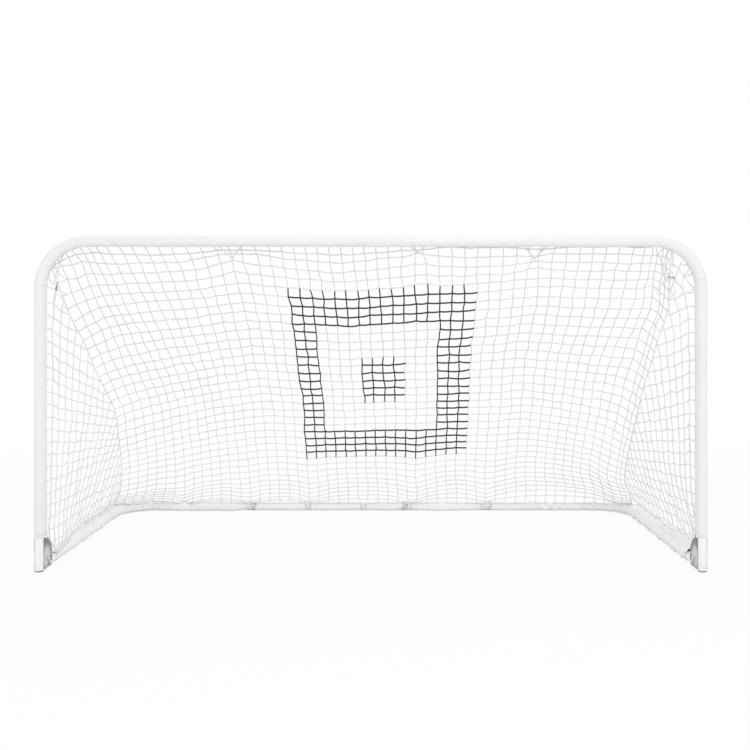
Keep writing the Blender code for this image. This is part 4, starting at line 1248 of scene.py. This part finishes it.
def lowSide(y, sign):
    # x and z of the net's lower edge beside the goal, and on round the corner
    s = baseSleeve
    beyond = max(y - goal["baseCornerY"], 0.0)
    turn = math.asin(min(beyond / s["bendRadius"], 1.0))
    out, up = onSleeve(min(y, goal["baseCornerY"]) - s["startY"] + s["bendRadius"] * turn, sign)
    arc = s["bendRadius"] + out
    return goal["baseCornerX"] + math.sqrt(max(arc ** 2 - beyond ** 2, 0.0)), s["axisZ"] + up


def roundCorners(point, leftStart, rightStart, leftCount, rightCount):
    # the stretch of an edge from one corner's arc to the other's
    left = [point(-1, turn) for turn in np.linspace(leftStart, 90, leftCount)]
    return left + [point(1, turn) for turn in np.linspace(90, rightStart, rightCount)]


def ridgeLine(sign):
    # from the top corner down to the base corner
    n, side = netting, "left" if sign < 0 else "right"
    ends = topPoint(sign, n[f"{side}Top"]), lowPoint(sign, n[f"{side}Low"])
    return smoothLine([ends[0], *n[f"{side}Ridge"], ends[1]])


def rowSag(u, row):
    # how far each knot hangs below an even row, in metres down the slope
    n = netting
    rows = [0, *n["sagLines"], len(n["rowShares"])]
    level = [0.0] * len(n["sagPlaces"])
    lines = np.array([level, *n["sagLines"].values(), level]) / 1000
    across = np.array([np.interp(u, n["sagPlaces"], line) for line in lines])
    return np.array([np.interp(row, rows, across[:, place]) for place in range(len(u))]).T


def softly(distance, room):
    # keeps a distance above zero, with crowding instead of a hard stop
    return 0.5 * (distance + np.sqrt(distance * distance + room * room))


def hump(x):
    # rises from 0 to 1 at 1, and falls slowly
    return x * np.exp(1 - x)


def spanShare(x, stops):
    # 0 at the stops and 1 midway between them, less in a short span
    stops = np.array(stops)
    spot = np.clip(np.searchsorted(stops, x) - 1, 0, len(stops) - 2)
    width = stops[spot + 1] - stops[spot]
    share = np.clip((x - stops[spot]) / width, 0, 1)
    return (1 - np.abs(2 * share - 1) ** 2.4) * np.clip(width / netting["fullSpan"], 0.35, 1.3)


def pinch(points, centre, strength):
    # draws the points around a centre in towards it
    away = np.linalg.norm(points - np.array(centre), axis=-1, keepdims=True)
    return points + (np.array(centre) - points) * strength * np.exp(-((away / netting["pinchReach"]) ** 2))


def hangPlace(x, drop):
    # this far down the slope from the crossbar
    return np.array([x, netting["frontY"], netting["topZ"]]) + slopeDown * drop


def belliedIn(v, depth):
    # deepest halfway down the slope
    return (depth * 4 * v * (1 - v))[..., None] * slopeIn


def backSheet():
    # knots of the back panel, rows from the crossbar down and columns from left to right
    n = netting
    rng = np.random.default_rng(n["seed"])
    shares = np.concatenate([[0.0], np.cumsum(n["rowShares"])])
    row = np.arange(len(shares))[:, None]
    widths = [1.0] * (n["columns"] - 1) + n["turnedColumns"]
    u = np.concatenate([[0.0], np.cumsum(widths)])[None] / n["columns"]
    even = (shares / shares[-1])[:, None] * n["slope"]
    run = softly(even + rowSag(u[0], row[:, 0]), n["topCrowding"])
    v = 1 - softly(n["slope"] - run, n["crowding"]) / n["slope"]
    v[0], v[-1] = 0.0, 1.0
    part = v[..., None]
    top = placesOn(np.array(roundCorners(topPoint, n["leftTop"], n["rightTop"], 20, 12)), u)
    low = placesOn(np.array(roundCorners(lowPoint, n["leftLow"], n["rightLow"], 20, 20)), u)
    middle = top * (1 - part) + low * part
    deeper = smoothStep(middle[..., 0], *n["bellyPlaces"])
    sheet = middle + belliedIn(v, n["leftBelly"] + (n["rightBelly"] - n["leftBelly"]) * deeper)
    width = np.linalg.norm(top[0, -1] - top[0, 0])
    # drawn onto both ridges, more so near them
    for sign, side, place, toward in ((-1, "left", 0, 1 - u), (1, "right", -1, u)):
        straight = top[:, place] * (1 - part) + low[:, place] * part + belliedIn(v, n[f"{side}Belly"])
        near = 1 - smoothStep((1 - toward) * width, 0.0, n[f"{side}RidgeReach"])
        weight = np.stack([0.5 * toward + 0.5 * near, near, near], axis=-1)
        sheet = sheet + weight * (placesOn(ridgeLine(sign), v) - straight)
    grows, fades = n["leanRows"]
    leaning = hump(u / n["leanPlace"]) * (1 - np.exp(-row / grows)) * np.exp(-row / fades)
    # the upper columns lean out towards both corners, where they crowd
    left, right = n["leftSpread"], n["rightSpread"]
    toRight = np.clip((u - right["start"]) / right["run"], 0.0, 1.0) * (1 - smoothStep(u, *right["end"]))
    toLeft = smoothStep(u, *left["start"]) * (1 - smoothStep(u, *left["end"]))
    spread = right["most"] * toRight - left["most"] * toLeft
    sheet[..., 0] += n["lean"] * leaning + spread * np.clip(1 - row / n["spreadRows"], 0.0, 1.0)
    cornerOut = np.maximum(np.abs(sheet[..., 0]) - goal["topCornerX"], 0.0)
    ceiling = goal["topCornerZ"] + np.sqrt(np.maximum(n["topArc"] ** 2 - cornerOut ** 2, 0.0))
    sheet[..., 2] = np.minimum(sheet[..., 2], ceiling)
    # bowed up between the ties of the lower edge
    inner = smoothStep(u, 0.0, 0.05) * smoothStep(1 - u, 0.0, 0.05)
    fromLow = len(shares) - 1 - row
    bow = (spanShare(sheet[..., 0], n["lowTies"]) - n["heldShare"]) * hump(fromLow / n["bowRows"])
    sheet = sheet - (n["bandBow"] * bow * inner)[..., None] * slopeDown
    for x, drop in n["hangKnots"]:
        sheet[1:] = pinch(sheet[1:], hangPlace(x, drop), n["hangPinch"])
    for place in goal["strapPlaces"]:
        sheet[:-1] = pinch(sheet[:-1], (place, n["lowY"], n["lowZ"]), n["bandPinch"])
    free = np.ones(sheet.shape[:2])
    free[0] = free[-1] = free[:, 0] = free[:, -1] = 0
    calmer = 1 - n["lowCalm"] * smoothStep(row, *n["calmRows"])
    loose = rng.normal(0, n["jitter"], sheet.shape) * (free * calmer)[..., None]
    wander = n["wander"] * ripples(rng, 5, 3, 11, 2.0, 7.0)(sheet[..., 2], sheet[..., 0] * 0.9)
    return sheet + loose * np.array([1.0, 0.6, 0.8]) + (wander * free)[..., None] * slopeDown


def sidePoint(sign, ridge, y, z):
    # x of the side panel: between the post's edge, the ridge and the base edge
    n = netting
    rise = min(1.0, max(0.0, (z - goal["topCornerZ"]) / n["topArc"]))
    edge = goal["topCornerX"] + n["topArc"] * math.sqrt(1 - rise * rise) if rise > 0 else n["postEdgeX"]
    order = np.argsort(ridge[:, 2])
    ridgeX, ridgeY = [np.interp(z, ridge[order, 2], ridge[order, axis]) for axis in (0, 1)]
    share = min(max((y - n["frontY"]) / max(ridgeY - n["frontY"], 1e-4), 0.0), 1.0)
    x = edge + (abs(ridgeX) - edge) * share ** 1.25
    grounded = (1 - float(smoothStep(z, n["lowZ"], 0.32))) * (1 - share)
    return np.array([sign * (x + (lowSide(y, sign)[0] - x) * grounded), y, z])


def sideLines(sign):
    # rows fall towards the ridge, columns stand in planes parallel to the mouth
    n = netting
    rng = np.random.default_rng(n["seed"] + (3 if sign > 0 else 2))
    side = n["rightSide"] if sign > 0 else n["leftSide"]
    ridge = ridgeLine(sign)
    lowZ = lowSide(n["lowStartY"], sign)[1]
    heights = [*np.arange(side["first"], n["footZ"] - 0.02, -side["step"]),
               *[height for height in n["tubeRows"] if height > lowZ + 0.008]]
    knots, rows, columns = {}, [], []
    for number, height in enumerate(heights):
        rise = (height - side["level"]) / (side["steep"] - side["level"])
        drop = side["fall"] * min(1.0, max(rise, 0.0))
        gap = ridge[:, 2] - (height - drop * (ridge[:, 1] - n["frontY"]))
        cross = int(np.argmax(gap < 0))
        share = gap[cross - 1] / (gap[cross - 1] - gap[cross])
        end = ridge[cross - 1] + (ridge[cross] - ridge[cross - 1]) * share
        # a row below the post's foot starts on the edge that runs down to the base
        under = max(0.0, (n["footZ"] - height) / (n["footZ"] - lowZ))
        startY = n["frontY"] + under * (n["lowStartY"] - n["frontY"])
        row = [sidePoint(sign, ridge, startY, height)]
        for step in range(1, int((end[1] - n["frontY"] - n["endGap"]) / n["mesh"]) + 1):
            y = n["frontY"] + n["mesh"] * step
            if y < startY + n["endGap"]:
                continue
            z = height - drop * (y - n["frontY"]) + (n["firstRise"] if step == 1 else 0.0)
            point = sidePoint(sign, ridge, y, z) + rng.normal(0, n["jitter"], 3) * np.array([0.8, 0.8, 0.9])
            point[2] += n["zigzag"] * (1 if (step + number) % 2 else -1)
            knots[(number, step)] = point
            row.append(point)
        rows.append(np.array(row + [end]))
    for step in range(1, max(step for _, step in knots) + 1):
        y = n["frontY"] + n["mesh"] * step
        share = np.interp(y, ridge[:, 1], np.arange(len(ridge)))
        low = int(share)
        top = ridge[low] + (ridge[min(low + 1, len(ridge) - 1)] - ridge[low]) * (share - low)
        x, z = lowSide(max(y, n["lowStartY"]), sign)
        if y < n["lowStartY"]:
            part = (y - n["frontY"]) / (n["lowStartY"] - n["frontY"])
            x = n["postEdgeX"] + (x - n["postEdgeX"]) * part
            z = n["footZ"] + (z - n["footZ"]) * part
        held = [knots[(number, step)] for number in range(len(heights)) if (number, step) in knots]
        columns.append(np.array([top, *held, (sign * x, y, z)]))
    return rows, columns, knots


def hung(line, rng, sag=netting["sag"], parts=3):
    # a strand between its knots: a shallow hanging bow in each stretch
    points = []
    for a, b in zip(line, line[1:]):
        side = rng.normal(0, netting["strandWander"], 3)
        side[2] -= sag * min(float(np.linalg.norm(b - a)) / netting["fullStretch"], 1.5)
        for t in np.arange(parts) / parts:
            points.append(a + (b - a) * t + 4 * t * (1 - t) * side)
    return np.array(points + [line[-1]])


def motifCell(row, column):
    # a plain square ring with a solid block in it, worked in dark strands
    m = netting["motif"]
    ring = max(abs(column - m["column"]) / m["halfWidth"], abs(row - m["row"]) / m["halfHeight"])
    return m["ringInside"] < ring <= 1.0 or ring <= m["block"]


def splitByColor(points, dark):
    # runs of one colour, each run ending on the knot where the next begins
    runs = {False: [], True: []}
    start = 0
    for i in range(1, len(dark) + 1):
        if i == len(dark) or dark[i] != dark[start]:
            runs[bool(dark[start])].append(points[start:i + 1])
            start = i
    return runs


def makeNetLines():
    n = netting
    rng = np.random.default_rng(n["seed"] + 40)
    sheet = backSheet()
    rows, columns = sheet.shape[0] - 1, sheet.shape[1] - 1
    lines = {"back_net": [], "back_net_columns": [], "net_motif_rows": [], "net_motif_columns": []}
    knots = {"pale": [], "dark": []}
    for r in range(1, rows):
        runs = splitByColor(sheet[r], [motifCell(r, c + 0.5) for c in range(columns)])
        sag = n["sag"] * (1 - n["lowSagLoss"] * float(smoothStep(r, *n["sagRows"])))
        lines["back_net"] += [hung(run, rng, sag) for run in runs[False]]
        lines["net_motif_rows"] += [hung(run, rng) for run in runs[True]]
    for c in range(1, columns):
        runs = splitByColor(sheet[:, c], [motifCell(r + 0.5, c) for r in range(rows)])
        lines["back_net_columns"] += [hung(run, rng, 0.0) for run in runs[False]]
        lines["net_motif_columns"] += [hung(run, rng, 0.0) for run in runs[True]]
    for r in range(1, rows):
        for c in range(1, columns):
            knots["dark" if motifCell(r, c) else "pale"].append(sheet[r, c])
    knots["pale"] += [*sheet[2:-2, 0], *sheet[2:-2, -1]]
    return lines, knots


def cornerSpot(x, z):
    # a loose strand keeps on the net's side of the edge cord, and hangs back with the distance from it
    n = netting
    across, up = abs(x) - goal["topCornerX"], z - goal["topCornerZ"]
    away = min(n["postEdgeX"] - abs(x), n["topZ"] - z)
    if across > 0 and up > 0:
        away = n["topArc"] - math.hypot(across, up)
        pull = min(1.0, n["topArc"] / math.hypot(across, up))
        across, up = across * pull, up * pull
    x = math.copysign(min(goal["topCornerX"] + across, n["postEdgeX"]), x)
    return x, n["frontY"] + 0.9 * max(away, 0.0), min(goal["topCornerZ"] + up, n["topZ"])


def cornerLines():
    # the bunched strands of both top corners, the fans under the crossbar and the strands in the ties
    n = netting
    rng = np.random.default_rng(n["seed"] + 70)
    lines = []
    for line in tangles["strands"]:
        lines.append(hung(np.array([cornerSpot(*point) for point in line]), rng, 0.0004, 2))
    for x, drop in n["hangKnots"]:
        for reach in tangles["fans"]:
            start = (x + reach * (0.5 + 8 * drop), n["frontY"], n["topZ"])
            lines.append(hung(np.array([start, hangPlace(x, drop)]), rng, 0.0))
    for spot, way, before, after in tangles["tieStrands"]:
        lines.append(np.array(spot) + np.array(way) * np.linspace(before, after, 7)[:, None])
    return lines, [smoothLine([cornerSpot(*point) for point in line], 5) for line in tangles["bunches"]]


def bendWithFold(piece):
    # each point turns with the base in proportion to how far it leans back from the front frame
    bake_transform(piece, "front_frame", "base_frame", (0, goal["postY"], 0.6), (0, goal["backY"], 0.0))
    mesh = piece.data
    spots = np.zeros(len(mesh.vertices) * 3)
    mesh.vertices.foreach_get("co", spots)
    spots = spots.reshape(-1, 3)
    back = spots[:, 1] - goal["pivotY"]
    up = np.maximum(spots[:, 2] - netting["lowZ"] - netting["lowBand"], 0.0)
    lean = np.where(back > 0, np.arctan2(up, np.maximum(back, 1e-6)), math.pi / 2)
    share = np.clip((math.pi / 2 - lean) / (math.pi / 2), 0.0, 1.0)
    mesh.attributes["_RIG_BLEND"].data.foreach_set("value", share.astype(np.float32))


def perimeter():
    # the edge cord: up the left post, over the crossbar, down the right one, and back round the base
    n = netting
    feet = {sign: (sign * n["postEdgeX"], n["frontY"], n["footZ"]) for sign in (-1, 1)}
    front = [feet[-1], *roundCorners(topPoint, 0, 0, 24, 24), feet[1]]
    beside = {}
    for sign in feet:
        spots = [(y, *lowSide(y, sign)) for y in np.linspace(n["lowStartY"], goal["baseCornerY"], 40)]
        beside[sign] = [(sign * x, y, z) for y, x, z in spots]
    base = beside[-1] + roundCorners(lowPoint, 0, 0, 24, 24) + beside[1][::-1]
    return [np.array(line) for line in (front, base, *[(feet[sign], beside[sign][0]) for sign in feet])]


netLines, netKnots = makeNetLines()
thin, knotSize = netting["twineRadius"], netting["knotSize"]
netPieces = [twine(name, netLines[name], thin * netting["thickness"][name], finish)
             for name, finish in (("back_net", backTwine), ("back_net_columns", litColumnTwine),
                                  ("net_motif_rows", darkTwine), ("net_motif_columns", darkTwine))]
netPieces += [knotted("back_net_knots", netKnots["pale"], knotSize, 3, netKnot),
              knotted("net_motif_knots", netKnots["dark"], knotSize * 1.15, 8, darkKnot),
              twine("net_ridges", [ridgeLine(-1), ridgeLine(1)], netting["ridgeRadius"], netTwine, 8)]
print("back net made")

sideRng = np.random.default_rng(netting["seed"] + 50)
for sign, side in ((-1, "left"), (1, "right")):
    rows, columns, knots = sideLines(sign)
    lines = [hung(line, sideRng) for line in rows] + [hung(line, sideRng, 0.0) for line in columns]
    netPieces.append(twine(f"{side}_net", lines, thin, netTwine))
    netPieces.append(knotted(f"{side}_net_knots", knots.values(), knotSize, 12, netKnot))
print("side nets made")

edgeLines = [evened(line, netting["edgeStep"]) for line in perimeter()]
looseLines, bunches = cornerLines()
hangSpots = [hangPlace(x, drop) for x, drop in netting["hangKnots"]] + [tangles["rightKnot"]]
netPieces += [twine("net_edge_cord", edgeLines, netting["edgeRadius"], edgeTwine, 8),
              dressLines("net_edge_loops", edgeLines[:2], loopTree, {**netting["loops"], "Finish": netKnot}),
              twine("net_corners", looseLines, thin, netTwine),
              twine("net_corner_bunches", bunches, thin * netting["thickness"]["net_corner_bunches"],
                    netTwine, 8),
              knotted("net_hang_knots", hangSpots, netting["hangKnotSize"], 4, netKnot)]
for piece in netPieces:
    bendWithFold(piece)
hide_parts("net")
print("net edges made")


# stage, light and camera

stage = {
    "floorSize": 60.0,
    "floorColor": (0.86, 0.86, 0.86),
    "floorShade": (0.82, 0.82, 0.82),
    "worldColor": (0.985, 0.99, 1.0, 1.0),
    "worldLight": 0.88,
    "lampSize": 3.0,
    # each lamp's place, the height that it aims at, and its power
    "lamps": {
        "keyLamp": ((1.5, -4.6, 3.6), 0.5, 62.0),
        "fillLamp": ((-3.2, -3.8, 2.6), 0.5, 12.0),
        "topLamp": ((0.3, 1.6, 4.4), 0.4, 26.0),
    },
}
white = {"Color": (1.0, 1.0, 1.0, 1.0), "Strength": 1.0}


def seenDirectly(tree):
    # 1 for what the camera sees, also in a shiny or clear surface
    rays = addNode(tree, "ShaderNodeLightPath").outputs
    mirrored = calc("MAXIMUM", rays["Is Glossy Ray"], rays["Is Transmission Ray"])
    return calc("MAXIMUM", rays["Is Camera Ray"], mirrored)


def mixShaders(tree, share, lit, seen, end):
    mix = addNode(tree, "ShaderNodeMixShader", None, {0: share, 1: lit.outputs[0], 2: seen.outputs[0]})
    tree.links.new(mix.outputs[0], tree.nodes[end].inputs["Surface"])


def makeFloor():
    half = stage["floorSize"] / 2
    floor = newObject("floor", [(-half, -half, 0), (half, -half, 0), (half, half, 0), (-half, half, 0)],
                      [(0, 1, 2, 3)], (), None, False)
    finish, place = newFinish("paleFloor", 0.9)
    tree = finish.node_tree
    shader = tree.nodes["Principled BSDF"]
    color = tinted(stage["floorColor"], stage["floorShade"], clouds(place, 0.8, 3.0), 0.3, 0.7, 0.03)
    feed(shader.inputs["Base Color"], color)
    away = addNode(tree, "ShaderNodeVectorMath", {"operation": "LENGTH"}, {0: place}).outputs["Value"]
    share = times(seenDirectly(tree), between(away, 1.6, 4.5, 0.86, 1.0))
    mixShaders(tree, share, shader, addNode(tree, "ShaderNodeEmission", None, white), "Material Output")
    floor.data.materials.append(finish)


def makeWorld():
    world = bpy.data.worlds.new("studio")
    world.use_nodes = True
    bpy.context.scene.world = world
    tree = world.node_tree
    lit = tree.nodes["Background"]
    lit.inputs["Color"].default_value = stage["worldColor"]
    lit.inputs["Strength"].default_value = stage["worldLight"]
    plain = addNode(tree, "ShaderNodeBackground", None, white)
    mixShaders(tree, seenDirectly(tree), lit, plain, "World Output")


def addLamp(name, place, aimHeight, power):
    lamp = bpy.data.lights.new(name, "AREA")
    lamp.shape = "DISK"
    lamp.size = stage["lampSize"]
    lamp.energy = power
    holder = bpy.data.objects.new(name, lamp)
    bpy.context.scene.collection.objects.link(holder)
    holder.location = place
    way = Vector((0, 0, aimHeight)) - Vector(place)
    holder.rotation_euler = way.to_track_quat("-Z", "Y").to_euler()


makeFloor()
makeWorld()
for name, values in stage["lamps"].items():
    addLamp(name, *values)

# the camera's place comes from the photograph's perspective
view = {
    "place": (0.0627, -3.8295, 0.9165),
    "focalPixels": 908.5,
    "centreX": 388.0,
    "centreY": 319.0,
    "frameSize": 750.0,
}
lens = bpy.data.cameras.new("photoCamera")
lens.sensor_width = 36.0
lens.lens = view["focalPixels"] * lens.sensor_width / view["frameSize"]
lens.shift_x = (view["frameSize"] / 2 - view["centreX"]) / view["frameSize"]
lens.shift_y = (view["centreY"] - view["frameSize"] / 2) / view["frameSize"]
lens.clip_start = 0.05
lens.clip_end = 200.0
camera = bpy.data.objects.new("photoCamera", lens)
bpy.context.scene.collection.objects.link(camera)
camera.location = view["place"]
camera.rotation_euler = (math.radians(90), 0, 0)
bpy.context.scene.camera = camera
bpy.context.scene.view_settings.view_transform = "Standard"
print("stage, light and camera set")
